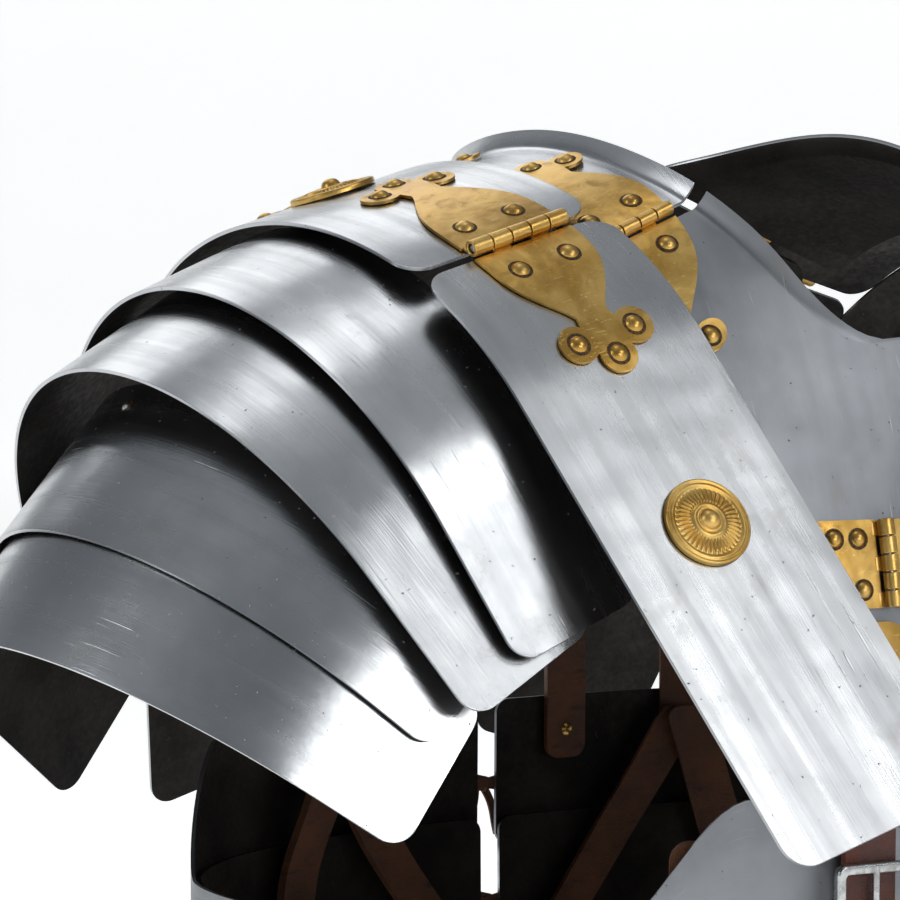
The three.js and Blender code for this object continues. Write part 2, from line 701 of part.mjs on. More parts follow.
for (const { name, sign } of SIDES) {
  const add = (piece, geometry, look) => addPiece(`${piece}_${name}`, geometry, sign, look);
  add('breastplate', breastplateGeometry(), STEEL_LOOK);
  add('mid_collar_plate', midCollarGeometry(), STEEL_LOOK);
  add('back_plate_upper', backUpperGeometry(), STEEL_LOOK);
  add('back_plate_lower', backLowerGeometry(), STEEL_LOOK);
  add('collar_front_hinge', collarHingeGeometry(1), BRASS_LOOK);
  add('collar_back_hinge', collarHingeGeometry(-1), BRASS_LOOK);

  const front = GUARD_FRONT_HINGE_AT;
  const back = -GUARD_BACK_HINGE_AT;
  const gap = GUARD_EDGE_GAP;
  add('shoulder_top_plate', guardStrip(back + gap, front - gap, 9), STEEL_LOOK);
  add('shoulder_front_plate', guardStrip(front + gap, GUARD_FRONT_END, 11), STEEL_LOOK);
  add('shoulder_back_plate', guardStrip(back - gap, -GUARD_BACK_END, 11), STEEL_LOOK);
  const { shoulderUpper, shoulderLower, shoulderBack } = LEAF_REACH;
  const leaves = [
    { piece: 'shoulder_front_hinge_upper', pinAt: front, away: -1, reach: shoulderUpper, moving: false },
    { piece: 'shoulder_front_hinge_lower', pinAt: front, away: 1, reach: shoulderLower, moving: true },
    { piece: 'shoulder_back_hinge_upper', pinAt: back, away: 1, reach: shoulderBack, moving: false },
    { piece: 'shoulder_back_hinge_lower', pinAt: back, away: -1, reach: shoulderBack, moving: true },
  ];
  for (const leaf of leaves) add(leaf.piece, shoulderLeafGeometry(leaf), BRASS_LOOK);
  add('rosette_front', rosetteGeometry(ROSETTE_FRONT_AT), BRASS_LOOK);
  add('rosette_top', rosetteGeometry(ROSETTE_TOP_AT), BRASS_LOOK);

  LAME_ROWS.forEach((row, i) => {
    const lame = stripGeometry(lameSurfaces[i], {
      from: -row.back,
      to: row.front,
      low: 0,
      high: row.width,
      corner: LAME_CORNER,
      middleSteps: 15,
    });
    add(`shoulder_lame_${i + 1}`, lame, STEEL_LOOK);
  });
  add('shoulder_leather', shoulderLeatherGeometry(), LEATHER_LOOK);

  HOOP_WAIST.forEach((_, i) => add(`girdle_hoop_${i + 1}`, hoopGeometry(i), STEEL_LOOK));

  add('tie_plate', tiePlateGeometry(), BRASS_LOOK);
  add('tie_strap', tieStrapGeometry(), LEATHER_LOOK);
  add('tie_buckle', tieBuckleGeometry(), STEEL_LOOK);
}

addPiece('chest_hinge_right', chestHingeGeometry(false), -1, BRASS_LOOK);
addPiece('chest_hinge_left', chestHingeGeometry(true), -1, BRASS_LOOK);

export default cuirass;
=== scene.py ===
import math

import bmesh
import bpy
from mathutils import Matrix, Vector


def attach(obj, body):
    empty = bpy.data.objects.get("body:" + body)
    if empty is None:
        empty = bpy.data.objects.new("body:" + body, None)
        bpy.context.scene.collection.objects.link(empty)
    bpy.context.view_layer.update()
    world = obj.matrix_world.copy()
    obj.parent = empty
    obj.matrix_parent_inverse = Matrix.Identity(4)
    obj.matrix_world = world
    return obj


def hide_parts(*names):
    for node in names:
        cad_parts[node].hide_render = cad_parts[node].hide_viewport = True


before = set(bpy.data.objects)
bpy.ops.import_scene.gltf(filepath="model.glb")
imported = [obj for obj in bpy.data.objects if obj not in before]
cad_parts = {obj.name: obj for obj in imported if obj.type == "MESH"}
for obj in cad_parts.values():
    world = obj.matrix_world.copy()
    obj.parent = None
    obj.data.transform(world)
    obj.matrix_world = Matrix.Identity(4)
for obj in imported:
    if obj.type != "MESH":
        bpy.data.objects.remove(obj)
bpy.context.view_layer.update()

MM = 0.001
SIDES = {"right": -1, "left": 1}

# Stock and gaps
STEEL = 1.2
BRASS = 1.0
LEATHER = 2.5
SEAT_GAP = 0.3
CENTRE_GAP = 0.6
GRID_STEP = 3.0
RIM_BEVEL = 0.32
RIM_BEVEL_SHARE = 0.3

# Upper shoulder guard; a bend is its radius and the degrees at which it ends
GUARD_OUT = 126
GUARD_TILT = 15.8
GUARD_WIDTH = 70
GUARD_CROWN = (148, 24.3)
GUARD_FRONT_BEND = (100, 58.5)
GUARD_BACK_BEND = (100, 70)
GUARD_FRONT_HINGE_AT = 69
GUARD_BACK_HINGE_AT = 96
GUARD_EDGE_GAP = 2
GUARD_FRONT_END = 280
GUARD_BACK_END = 295
GUARD_CORNER = 9

# Lames: crown of the lower edge (out, up), tilt, radius, bend, front and back length, width
LAME_ROWS = [
    (196.5, -29, 21.7, 110, 68.8, 178, 190, 48),
    (224, -53, 30, 105, 67.6, 174, 182, 50),
    (239.5, -100.5, 48, 103, 71, 147, 165, 57),
    (259.5, -133, 54, 99.5, 69.5, 150.5, 172, 50),
]
LAME_WIDTHS = [row[-1] for row in LAME_ROWS]
LAME_CORNER = 8
LAME_RIVET_ALONG = -10.5
LAME_RIVET_ACROSS = 48.5
LAME_RIVET_SIZE = 0.62

# Collar unit; the chest plate's outer edge has its place at the top and bottom, and the shares of the
# length between which it tapers
COLLAR_DROP = 7.8
COLLAR_REF_OUT = 92
COLLAR_REF_UP = 2
COLLAR_SLOPE = 0.404
CHEST_SWEEP = (262, 90)
BACK_SWEEP = (92.8, 90)
CHEST_HALF_WIDTH = 172
CHEST_POWER = 2.4
NECK_HALF_WIDTH = 60
NECK_FRONT = 115
NECK_POWER = 2.5
NECK_BACK = 84
COLLAR_HINGE_AT = 75
COLLAR_EDGE_GAP = 2.5
MID_PLATE_OUTER = 122
CHEST_PLATE_OUTER = (110, 62, 0.45, 1.03)
BACK_PLATE_OUTER = 112
CHEST_BOTTOM = -190
BACK_BOTTOM = -131
BACK_OVERLAP_FROM = 150
BACK_OVERLAP = 12
BACK_TUCK = STEEL + 0.6
FLANGE_LIFT = 5
FLANGE_WIDTH = 4.5
FLANGE_COLUMNS = 6
FLANGE_FADE_FROM = 0.74
FLANGE_FADE = 0.8
FLANGE_RISE = 12
COLLAR_CORNER = 7
CHEST_RUN = 240
LOWER_BACK_RUN = 68
LONGEST_RUN = 420.0
PAST_EVERY_BEND = 400

# Girdle; the arm scoop has its depth, and the degrees from the front where it starts, is full, is full
# to, and ends
HOOP_TOP = -178
HOOP_PITCH = 41
HOOP_HEIGHT = 51
HOOP_WAIST = [0, 2, 5, 7, 8, 8]
HOOP_FLARE = 1.9
HOOP_INSET = STEEL + 0.8
HOOP_CORNER = 5
HOOP_STEP = 4.0
HOOP_COLUMNS = 18
HOOP_UV_SHIFT = 700
ARM_SCOOP = (40, 22, 40, 108, 135)
BACK_CENTRE_GAP = 4

# Inner girdle leathers: turn from the front in degrees at each height, half the width, and how deep they
# lie at the top
GIRDLE_STRAPS = {
    "front": ([(27, 0)], 11, 0.0),
    "side": ([(92, 0)], 11, 0.0),
    "back_inner": ([(156.5, -186), (173, -254), (174, -300)], 9, 2.8),
    "back_outer": ([(155.5, -186), (146.5, -254), (146, -300)], 9, 5.5),
}
STRAP_FADE = (-232, -196)
STRAP_RIVET_ACROSS = 4.5
STRAP_COLUMNS = 9
BACK_TIE_TURNS = (156, 172)
BACK_TIE_HALF = 8

# Laces
LACE_SHARE = 0.58
LOOP_OUT = 14
LOOP_RADIUS = 3.3
LOOP_WIRE = 0.85
LOOP_CUT = 1.4
THONG_THICKNESS = 1.1
THONG_WIDTH = 3.2
TAIL_WIDTH = 3.0
TAIL_LENGTH = 17
CROSSING_RISE = 1.9

# Brass hinges
BARREL_RADIUS = 2.6
BORE_RADIUS = 1.6
PIN_RADIUS = 1.15
KNUCKLE_GAP = 0.3
KNUCKLES = 5
KNUCKLE_SPAN = 36
FIXED_KNUCKLES = (0, 2, 4)
MOVING_KNUCKLES = (1, 3)
PIN_INSET = 0.8
TAB_THICKNESS = BRASS * 0.96
TAB_INSET = 0.3
COLLAR_LEAF_SCALE = 0.85
COLLAR_HINGE_OUT = 78.8
COLLAR_SEAT = 0.8
HINGE_ACROSS = 3.5
LEAF_WAIST = [(0.066, 18.4), (0.2, 18.3), (0.36, 17.6), (0.5, 15.4), (0.64, 11.4), (0.75, 7.6), (0.84, 5.4)]
LEAF_REACH = {"upper": 53, "lower": 44.2, "back": 44.2, "collar_upper": 48, "collar_lower": 46}
LOBE_RADIUS = 6.3
LOBE_ACROSS = 10.6
TIP_BEYOND = 6.8
RIVET_BY_PIN = (13.2, 9.3)

# Rosettes, chest closure and ties
ROSETTE_FRONT_AT = 177
ROSETTE_TOP_AT = -20
ROSETTE_RIBS = 40
CHEST_PIN_OUT = 29
CHEST_HINGE_UP = -110
CHEST_LEAF_LENGTH = 23
CHEST_LEAF_HALF = 13
CHEST_FAR_LEAF_LENGTH = 52
TIE_OUT = 38
TIE_PLATE_TOP = -127
TIE_PLATE_HALF = 16
TIE_PLATE_HEIGHT = 34
TIE_STRAP_HALF = 9
TIE_STRAP_END = -232
TIE_BUCKLE_UP = -208
TIE_BUCKLE_HALF = 14
TIE_BUCKLE_TALL = 20
TIE_BUCKLE_WIRE = 3.2

# Inner shoulder leather
LEATHER_HALF = 12
LEATHER_DEPTH = SEAT_GAP + 0.5 + LEATHER / 2
LEATHER_DIP = 0.8
LEATHER_RIVET_ALONG = 6

# Studio, in metres and degrees
FLOOR_LEVEL = -0.46
SWEEP_SIZE = 11.0
SWEEP_BEND_FROM = 5.4
SWEEP_RADIUS = 2.3
SWEEP_TURN = -35.8
SOFTBOX_AIM = (-0.15, 0, -0.1)

# Softboxes: name, place, width, height and watts
SOFTBOXES = [
    ("high_front_softbox", (0.62, -1.66, 1.22), 0.8, 0.66, 6),
    ("low_front_softbox", (0.06, -2.2, 0.46), 1.0, 0.45, 8),
    ("top_softbox", (-0.05, 0.15, 1.95), 0.7, 0.7, 2.6),
    ("back_softbox", (0.22, 1.6, 1.35), 1.5, 1.1, 8),
    ("side_softbox", (-2.1, 0.2, 0.9), 0.8, 1.0, 6),
]
AIR_STOPS = [(0.0, "#cdd0d4"), (0.25, "#9a9ea2"), (0.5, "#75797d"), (0.8, "#8d9195"), (1.0, "#b8bbbe")]

# Camera
CAMERA_AZIMUTH = -35.787
CAMERA_ELEVATION = 3.744
CAMERA_ROLL = 0.426
CAMERA_DISTANCE = 1.3
CAMERA_TARGET = (-0.1231, -0.040, -0.0781)
CAMERA_LENS = 171.66
CAMERA_SENSOR = 36


# Surfaces that the plates lie on, as points (out, forward, up) on one side of the body

def lerp(low, high, share):
    return low + (high - low) * share


def smoothstep(value, low, high):
    share = min(max((value - low) / (high - low), 0.0), 1.0)
    return share * share * (3 - 2 * share)


def section_at(arcs, length):
    angle = 0.0
    reach = 0.0
    drop = 0.0
    left = length
    for radius, until in arcs:
        step = min(left, (math.radians(until) - angle) * radius)
        turned_to = angle + step / radius
        reach += radius * (math.sin(turned_to) - math.sin(angle))
        drop += radius * (math.cos(angle) - math.cos(turned_to))
        angle = turned_to
        left -= step
    return reach + left * math.cos(angle), drop + left * math.sin(angle), angle


def band_surface(out, up, tilt, front_arcs, back_arcs):
    lean = math.radians(tilt)
    rise = Vector((math.sin(lean), 0, math.cos(lean)))
    inward = Vector((-math.cos(lean), 0, math.sin(lean)))

    def surface(along, across, lift):
        way = -1 if along < 0 else 1
        reach, drop, angle = section_at(back_arcs if along < 0 else front_arcs, abs(along))
        foot = Vector((out, way * (reach + lift * math.sin(angle)), up))
        return foot + rise * (lift * math.cos(angle) - drop) + inward * across

    return surface


guard_surface = band_surface(
    GUARD_OUT, 0, GUARD_TILT, [GUARD_CROWN, GUARD_FRONT_BEND], [GUARD_CROWN, GUARD_BACK_BEND]
)
lame_surfaces = [
    band_surface(out, up, tilt, [(radius, until)], [(radius, until)])
    for out, up, tilt, radius, until, *_ in LAME_ROWS
]


def trunk_curve(out):
    part = min(abs(out) / CHEST_HALF_WIDTH, 1)
    return (1 - part ** CHEST_POWER) ** (1 / CHEST_POWER)


def lowered(arc):
    return (arc[0] - COLLAR_DROP, arc[1])


COLLAR_FRONT_ARCS = [lowered(GUARD_CROWN), lowered(GUARD_FRONT_BEND), CHEST_SWEEP]
COLLAR_BACK_ARCS = [lowered(GUARD_CROWN), BACK_SWEEP]
CHEST_DEPTH = section_at(COLLAR_FRONT_ARCS, PAST_EVERY_BEND)[0]
BACK_DEPTH = section_at(COLLAR_BACK_ARCS, PAST_EVERY_BEND)[0]


def collar_sheet(out, along):
    way = -1 if along < 0 else 1
    reach, drop, angle = section_at(COLLAR_BACK_ARCS if along < 0 else COLLAR_FRONT_ARCS, abs(along))
    narrowing = 1 + (trunk_curve(out) - 1) * math.sin(angle) ** 2
    up = COLLAR_REF_UP + (COLLAR_REF_OUT - abs(out)) * COLLAR_SLOPE - drop
    return Vector((out, way * reach * narrowing, up))


def collar_point(out, along, lift):
    step = 0.5
    downhill = collar_sheet(out, along + step) - collar_sheet(out, along - step)
    outward = collar_sheet(out + step, along) - collar_sheet(out - step, along)
    return collar_sheet(out, along) + outward.cross(downhill).normalized() * lift


def along_at_up(out, up, way):
    low = 0.0
    high = LONGEST_RUN
    while high - low > 0.01:
        middle = (low + high) / 2
        if collar_sheet(out, way * middle).z > up:
            low = middle
        else:
            high = middle
    return way * low


def chest_point(out, up, lift):
    return collar_point(out, along_at_up(abs(out), up, 1), lift)


def neck_out(forward):
    reach = NECK_BACK if forward < 0 else NECK_FRONT
    part = min(abs(forward) / reach, 1)
    return max(CENTRE_GAP, NECK_HALF_WIDTH * (1 - part ** NECK_POWER) ** (1 / NECK_POWER))


def arm_scoop(turn):
    depth, start, full, full_to, end = ARM_SCOOP
    degrees = math.degrees(turn)
    return depth * smoothstep(degrees, start, full) * (1 - smoothstep(degrees, full_to, end))


def hoop_plan(turn, inset):
    power = 2 / CHEST_POWER
    ahead = math.cos(turn)
    depth = BACK_DEPTH - BACK_TUCK if ahead < 0 else CHEST_DEPTH
    gap = BACK_CENTRE_GAP if ahead < 0 else CENTRE_GAP
    out = max(gap, (CHEST_HALF_WIDTH - inset) * max(math.sin(turn), 0) ** power)
    return out, math.copysign((depth - inset) * abs(ahead) ** power, ahead)


# Mesh helpers

def placed(point, side):
    return Vector((side * point.x, -point.y, point.z)) * MM


def corner_runs(corner, steps=9):
    turns = [math.radians(90 * i / steps) for i in range(steps + 1)]
    return [(corner * (1 - math.cos(turn)), corner * (1 - math.sin(turn))) for turn in turns]


def rounded_stations(start, end, corner, step=GRID_STEP):
    way = 1 if end > start else -1
    first = [(start + way * run, inset) for run, inset in corner_runs(corner)]
    last = [(end - way * run, inset) for run, inset in reversed(corner_runs(corner))]
    span = last[0][0] - first[-1][0]
    count = max(2, round(abs(span) / step))
    middle = [(first[-1][0] + span * i / count, 0.0) for i in range(1, count)]
    return first + middle + last


def shell(bm, at, uv, thickness, side):
    """Places the flat sheet's points, gives it thickness, rounds its rims and marks its inner side."""
    first = bm.verts.layers.float.get("first")
    second = bm.verts.layers.float.get("second")
    inner = bm.verts.layers.int.new("inner")
    made = bmesh.ops.extrude_face_region(bm, geom=bm.faces[:], use_keep_orig=True)
    for item in made["geom"]:
        if isinstance(item, bmesh.types.BMVert):
            item[inner] = 1
    for vert in bm.verts:
        depth = -thickness if vert[inner] else 0.0
        vert.co = placed(at(vert[first], vert[second], depth), side)
    bmesh.ops.recalc_face_normals(bm, faces=bm.faces[:])
    for face in bm.faces:
        face.material_index = 1 if all(vert[inner] for vert in face.verts) else 0
    rims = [edge for edge in bm.edges if edge.calc_face_angle(0) > 1.0]
    bmesh.ops.bevel(
        bm, geom=rims, offset=min(RIM_BEVEL, thickness * RIM_BEVEL_SHARE) * MM, segments=2, profile=0.5,
        affect="EDGES", material=-1, clamp_overlap=True,
    )
    layer = bm.loops.layers.uv.new("UVMap")
    for face in bm.faces:
        for loop in face.loops:
            place = uv(loop.vert[first], loop.vert[second])
            loop[layer].uv = (place[0] * MM, place[1] * MM)
    for name in ("first", "second"):
        bm.verts.layers.float.remove(bm.verts.layers.float.get(name))
    bm.verts.layers.int.remove(bm.verts.layers.int.get("inner"))
    return bm


def plate(rows, columns, at, uv, thickness, side):
    """A sheet from a grid whose points are numbered by row and column."""
    bm = bmesh.new()
    bmesh.ops.create_grid(bm, x_segments=columns - 1, y_segments=rows - 1, size=0.5)
    first = bm.verts.layers.float.new("first")
    second = bm.verts.layers.float.new("second")
    for vert in bm.verts:
        vert[first] = (vert.co.y + 0.5) * (rows - 1)
        vert[second] = (vert.co.x + 0.5) * (columns - 1)
    return shell(bm, at, uv, thickness, side)


def cut_sheet(outline, at, thickness, side, step=GRID_STEP, cross_step=None):
    """A sheet cut to an outline of (along, across) points and laid on a surface."""
    bm = bmesh.new()
    bm.faces.new([bm.verts.new((along, across, 0)) for along, across in outline])
    for axis, pitch in ((0, step), (1, cross_step)):
        if not pitch:
            continue
        places = [point[axis] for point in outline]
        normal = Vector((1, 0, 0)) if axis == 0 else Vector((0, 1, 0))
        place = math.ceil(min(places) / pitch) * pitch + 0.013
        while place < max(places):
            parts = bm.verts[:] + bm.edges[:] + bm.faces[:]
            bmesh.ops.bisect_plane(bm, geom=parts, dist=1e-5, plane_co=normal * place, plane_no=normal)
            place += pitch
    first = bm.verts.layers.float.new("first")
    second = bm.verts.layers.float.new("second")
    for vert in bm.verts:
        vert[first] = vert.co.x
        vert[second] = vert.co.y

    def raised(along, across, depth):
        return at(along, across, thickness + depth)

    return shell(bm, raised, lambda along, across: (along, across), thickness, side)


def turned(profile, steps):
    """A round body spun from a profile of (radius, height) points."""
    bm = bmesh.new()
    points = [bm.verts.new((radius * MM, 0, height * MM)) for radius, height in profile]
    edges = [bm.edges.new(pair) for pair in zip(points, points[1:])]
    bmesh.ops.spin(
        bm, geom=points + edges, cent=(0, 0, 0), axis=(0, 0, 1), dvec=(0, 0, 0),
        angle=2 * math.pi, steps=steps, use_merge=True, use_duplicate=False,
    )
    bmesh.ops.remove_doubles(bm, verts=bm.verts[:], dist=1e-7)
    bmesh.ops.recalc_face_normals(bm, faces=bm.faces[:])
    return bm


def added(target, part, transform=None, material=None):
    """Adds a part's mesh to the target and frees the part."""
    if transform is not None:
        bmesh.ops.transform(part, matrix=transform, verts=part.verts[:])
    if material is not None:
        for face in part.faces:
            face.material_index = material
    mesh = bpy.data.meshes.new("part")
    part.to_mesh(mesh)
    part.free()
    target.from_mesh(mesh)
    bpy.data.meshes.remove(mesh)


def standing(foot, normal):
    turn = Vector((0, 0, 1)).rotation_difference(normal).to_matrix().to_4x4()
    return Matrix.Translation(foot) @ turn


def rounded_bar(length, radius, bore, steps=28):
    """A tube or pin along +Z, centred, with small rounded rims."""
    half = length / 2
    rim = min(0.35, (radius - bore) * 0.35)
    profile = [
        (radius, -half + rim), (radius, half - rim), (radius - rim * 0.3, half - rim * 0.3),
        (radius - rim, half), (bore + rim * 0.6, half), (bore, half - rim * 0.6),
    ]
    if bore:
        profile += [
            (bore, -half + rim * 0.6), (bore + rim * 0.6, -half), (radius - rim, -half),
            (radius - rim * 0.3, -half + rim * 0.3), (radius, -half + rim),
        ]
    else:
        profile = [(0, half), *reversed(profile[:4])]
        profile += [(radius - rim * 0.3, -half + rim * 0.3), (radius - rim, -half), (0, -half)]
    return turned(profile, steps)


def bar_between(target, start, end, radius, bore, side, material):
    low = placed(start, side)
    high = placed(end, side)
    part = rounded_bar((high - low).length / MM, radius, bore)
    added(target, part, standing((low + high) / 2, (high - low).normalized()), material)


def one_look(bm):
    """Gives a sheet's inner side the material of its outer side."""
    for face in bm.faces:
        face.material_index = 0
    return bm


def away_from(start, end):
    return (end - start).normalized()


def finished(name, bm, body, materials, replaced=(), sharp=38):
    """Turns a mesh under construction into a piece that rides on a body."""
    mesh = bpy.data.meshes.new(name)
    bm.to_mesh(mesh)
    bm.free()
    for material in materials:
        mesh.materials.append(material)
    mesh.shade_smooth()
    mesh.set_sharp_from_angle(angle=math.radians(sharp))
    piece = bpy.data.objects.new(name, mesh)
    bpy.context.scene.collection.objects.link(piece)
    even = piece.modifiers.new("even_shading", "WEIGHTED_NORMAL")
    even.keep_sharp = True
    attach(piece, body)
    if replaced:
        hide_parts(*replaced)
    return piece


# Node helpers

def colour(code):
    channels = [int(code[i:i + 2], 16) / 255 for i in (1, 3, 5)]
    levels = [c / 12.92 if c <= 0.04045 else ((c + 0.055) / 1.055) ** 2.4 for c in channels]
    return (*levels, 1.0)


def feed(tree, node, **inputs):
    """Links or sets a node's inputs, named, or by number as at0, at1 and so on."""
    for name, value in inputs.items():
        key = int(name[2:]) if name.startswith("at") else name.replace("_", " ")
        socket = node.inputs[key]
        if isinstance(value, bpy.types.NodeSocket):
            tree.links.new(value, socket)
        else:
            socket.default_value = value


def add_node(tree, kind, settings=None, **inputs):
    node = tree.nodes.new(kind)
    for name, value in (settings or {}).items():
        setattr(node, name, value)
    feed(tree, node, **inputs)
    return node


def mixed(tree, factor, low, high):
    node = add_node(tree, "ShaderNodeMix", {"data_type": "RGBA"}, at0=factor, at6=low, at7=high)
    return node.outputs[2]


def ranged(tree, value, from_low, from_high, to_low, to_high):
    node = add_node(
        tree, "ShaderNodeMapRange", {"interpolation_type": "SMOOTHSTEP"}, Value=value,
        From_Min=from_low, From_Max=from_high, To_Min=to_low, To_Max=to_high,
    )
    return node.outputs["Result"]


def combined(tree, kind, one, other):
    return add_node(tree, "ShaderNodeMath", {"operation": kind}, at0=one, at1=other).outputs[0]


def scaled(tree, one, other):
    return combined(tree, "MULTIPLY", one, other)


def noise(tree, vector, scale, detail=3.0, roughness=0.5, distortion=0.0):
    node = add_node(
        tree, "ShaderNodeTexNoise", Vector=vector, Scale=scale, Detail=detail,
        Roughness=roughness, Distortion=distortion,
    )
    return node.outputs["Fac"]


def stretched(tree, vector, scale, turn=0.0):
    node = add_node(tree, "ShaderNodeMapping", Vector=vector, Scale=scale, Rotation=(0, 0, turn))
    return node.outputs["Vector"]


def new_material(name):
    material = bpy.data.materials.new(name)
    material.use_nodes = True
    tree = material.node_tree
    tree.nodes.clear()
    shader = add_node(tree, "ShaderNodeBsdfPrincipled")
    add_node(tree, "ShaderNodeOutputMaterial", Surface=shader.outputs["BSDF"])
    place = add_node(tree, "ShaderNodeTexCoord")
    return material, tree, shader, place


def bumped(tree, height, distance, strength=1.0, normal=None):
    node = add_node(tree, "ShaderNodeBump", Height=height, Distance=distance, Strength=strength)
    if normal is not None:
        feed(tree, node, Normal=normal)
    return node.outputs["Normal"]


# Steel plate, ground and polished along its length, with a few scratches, small pits and faint stains
# When given an overlap band, it also gets painted shade just below the edge of the plate that laps over it
def polished_steel(name, light, dark, rough_low, rough_high, streaks, overlap=None):
    material, tree, shader, place = new_material(name)
    uv = place.outputs["UV"]
    body = place.outputs["Object"]
    brushed = noise(tree, stretched(tree, uv, (18, 1900, 1)), 1.0, 4.0, 0.6)
    bands = noise(tree, stretched(tree, uv, (5, 130, 1)), 1.0, 3.0, 0.5)
    clouds = noise(tree, body, 20.0, 4.0, 0.6)
    scratch_field = noise(tree, stretched(tree, uv, (34, 900, 1), 0.5), 1.0, 1.0, 0.4, 0.2)
    cross_field = noise(tree, stretched(tree, uv, (30, 1100, 1), -0.7), 1.0, 1.0, 0.4, 0.2)
    patchy = ranged(tree, noise(tree, body, 26.0, 2.0, 0.5), 0.5, 0.66, 0.0, 1.0)
    scratches = ranged(tree, scratch_field, 0.70, 0.75, 0.0, 1.0)
    crossed = ranged(tree, cross_field, 0.70, 0.75, 0.0, 1.0)
    marks = scaled(tree, combined(tree, "MAXIMUM", scratches, crossed), patchy)
    pits = ranged(tree, noise(tree, body, 700.0, 2.0, 0.5), 0.73, 0.78, 0.0, 1.0)
    stains = ranged(tree, noise(tree, body, 34.0, 5.0, 0.65, 0.6), 0.55, 0.8, 0.0, 1.0)
    base = mixed(tree, ranged(tree, clouds, 0.3, 0.7, 0.0, 1.0), colour(dark), colour(light))
    base = mixed(tree, ranged(tree, bands, 0.35, 0.75, 0.0, streaks), base, colour("#919396"))
    base = mixed(tree, scaled(tree, stains, 0.3), base, colour("#8d8579"))
    base = mixed(tree, scaled(tree, pits, 0.7), base, colour("#4b4744"))
    base = mixed(tree, scaled(tree, marks, 0.35), base, colour("#e2e4e6"))
    # Painted shade: a dark band just below the lapping plate's lower edge, standing in for the shadow it
    # casts
    if overlap:
        level = add_node(tree, "ShaderNodeSeparateXYZ", Vector=uv).outputs["Y"]
        ragged = add_node(
            tree, "ShaderNodeMath", {"operation": "MULTIPLY_ADD"}, at0=bands, at1=-0.004, at2=0.002,
        ).outputs[0]
        edge = combined(tree, "ADD", level, ragged)
        painted_overlap_shade = ranged(tree, edge, overlap[0] * MM, overlap[1] * MM, 0.85, 0.0)
        base = mixed(tree, painted_overlap_shade, base, colour("#2b2c2e"))
    rough = ranged(tree, bands, 0.25, 0.75, rough_low, rough_high)
    rough = combined(tree, "ADD", rough, scaled(tree, brushed, 0.06))
    rough = combined(tree, "ADD", rough, scaled(tree, stains, 0.08))
    rough = combined(tree, "ADD", rough, scaled(tree, pits, 0.25))
    tangent = add_node(tree, "ShaderNodeTangent", {"direction_type": "UV_MAP", "uv_map": "UVMap"})
    uneven = bumped(tree, noise(tree, body, 24.0, 2.0, 0.45), 0.0009)
    grain = bumped(tree, brushed, 0.000025, 1.0, uneven)
    cut = bumped(tree, scaled(tree, marks, -1.0), 0.00003, 1.0, grain)
    sunk = bumped(tree, scaled(tree, pits, -1.0), 0.0001, 1.0, cut)
    feed(
        tree, shader, Base_Color=base, Roughness=rough, Metallic=1.0, Anisotropic=0.45,
        Tangent=tangent.outputs["Tangent"], Normal=sunk,
    )
    return material


# Unpolished inner side of the plates, near black
def dark_steel():
    material, tree, shader, place = new_material("near_black_inner_steel")
    body = place.outputs["Object"]
    clouds = noise(tree, body, 28.0, 5.0, 0.65)
    specks = noise(tree, body, 420.0, 3.0, 0.6)
    base = mixed(tree, ranged(tree, clouds, 0.35, 0.7, 0.0, 1.0), colour("#242220"), colour("#3d3834"))
    base = mixed(tree, ranged(tree, specks, 0.6, 0.8, 0.0, 0.6), base, colour("#5b4a3c"))
    rough = ranged(tree, specks, 0.3, 0.7, 0.48, 0.68)
    feed(tree, shader, Base_Color=base, Roughness=rough, Metallic=0.85, Normal=bumped(tree, specks, 0.00012))
    return material


# Sheet brass, hand-polished, warmer and browner where the polish has worn off
def worn_brass():
    material, tree, shader, place = new_material("worn_sheet_brass")
    body = place.outputs["Object"]
    clouds = noise(tree, body, 55.0, 4.0, 0.6, 0.4)
    patches = noise(tree, body, 120.0, 5.0, 0.65, 0.8)
    fine = noise(tree, body, 900.0, 3.0, 0.6)
    lines = noise(tree, stretched(tree, body, (150, 1900, 900), 0.6), 1.0, 3.0, 0.55)
    marks = ranged(tree, lines, 0.63, 0.68, 0.0, 1.0)
    tarnish = ranged(tree, patches, 0.52, 0.74, 0.0, 1.0)
    base = mixed(tree, ranged(tree, clouds, 0.35, 0.68, 0.0, 1.0), colour("#bb9249"), colour("#dab56b"))
    base = mixed(tree, scaled(tree, tarnish, 0.55), base, colour("#8d7243"))
    pink = ranged(tree, noise(tree, body, 70.0, 3.0, 0.5), 0.6, 0.8, 0.0, 0.4)
    base = mixed(tree, pink, base, colour("#bf8a66"))
    base = mixed(tree, scaled(tree, marks, 0.3), base, colour("#e6cf9a"))
    rough = ranged(tree, clouds, 0.3, 0.7, 0.24, 0.36)
    rough = combined(tree, "ADD", rough, scaled(tree, tarnish, 0.16))
    rough = combined(tree, "ADD", rough, scaled(tree, fine, 0.06))
    uneven = bumped(tree, noise(tree, body, 95.0, 2.0, 0.5), 0.00045)
    cut = bumped(tree, scaled(tree, marks, -1.0), 0.00002, 1.0, uneven)
    polished = bumped(tree, fine, 0.00002, 1.0, cut)
    feed(tree, shader, Base_Color=base, Roughness=rough, Metallic=1.0, Normal=polished)
    return material


# Old polish and dirt that dries in a ring round a rivet
def joint_grime():
    material, tree, shader, place = new_material("dried_polish_and_dirt")
    body = place.outputs["Object"]
    grain = noise(tree, body, 1300.0, 4.0, 0.6)
    base = mixed(tree, ranged(tree, grain, 0.35, 0.7, 0.0, 1.0), colour("#2c2013"), colour("#6a4c22"))
    feed(tree, shader, Base_Color=base, Roughness=0.7, Metallic=0.35, Normal=bumped(tree, grain, 0.0001))
    return material


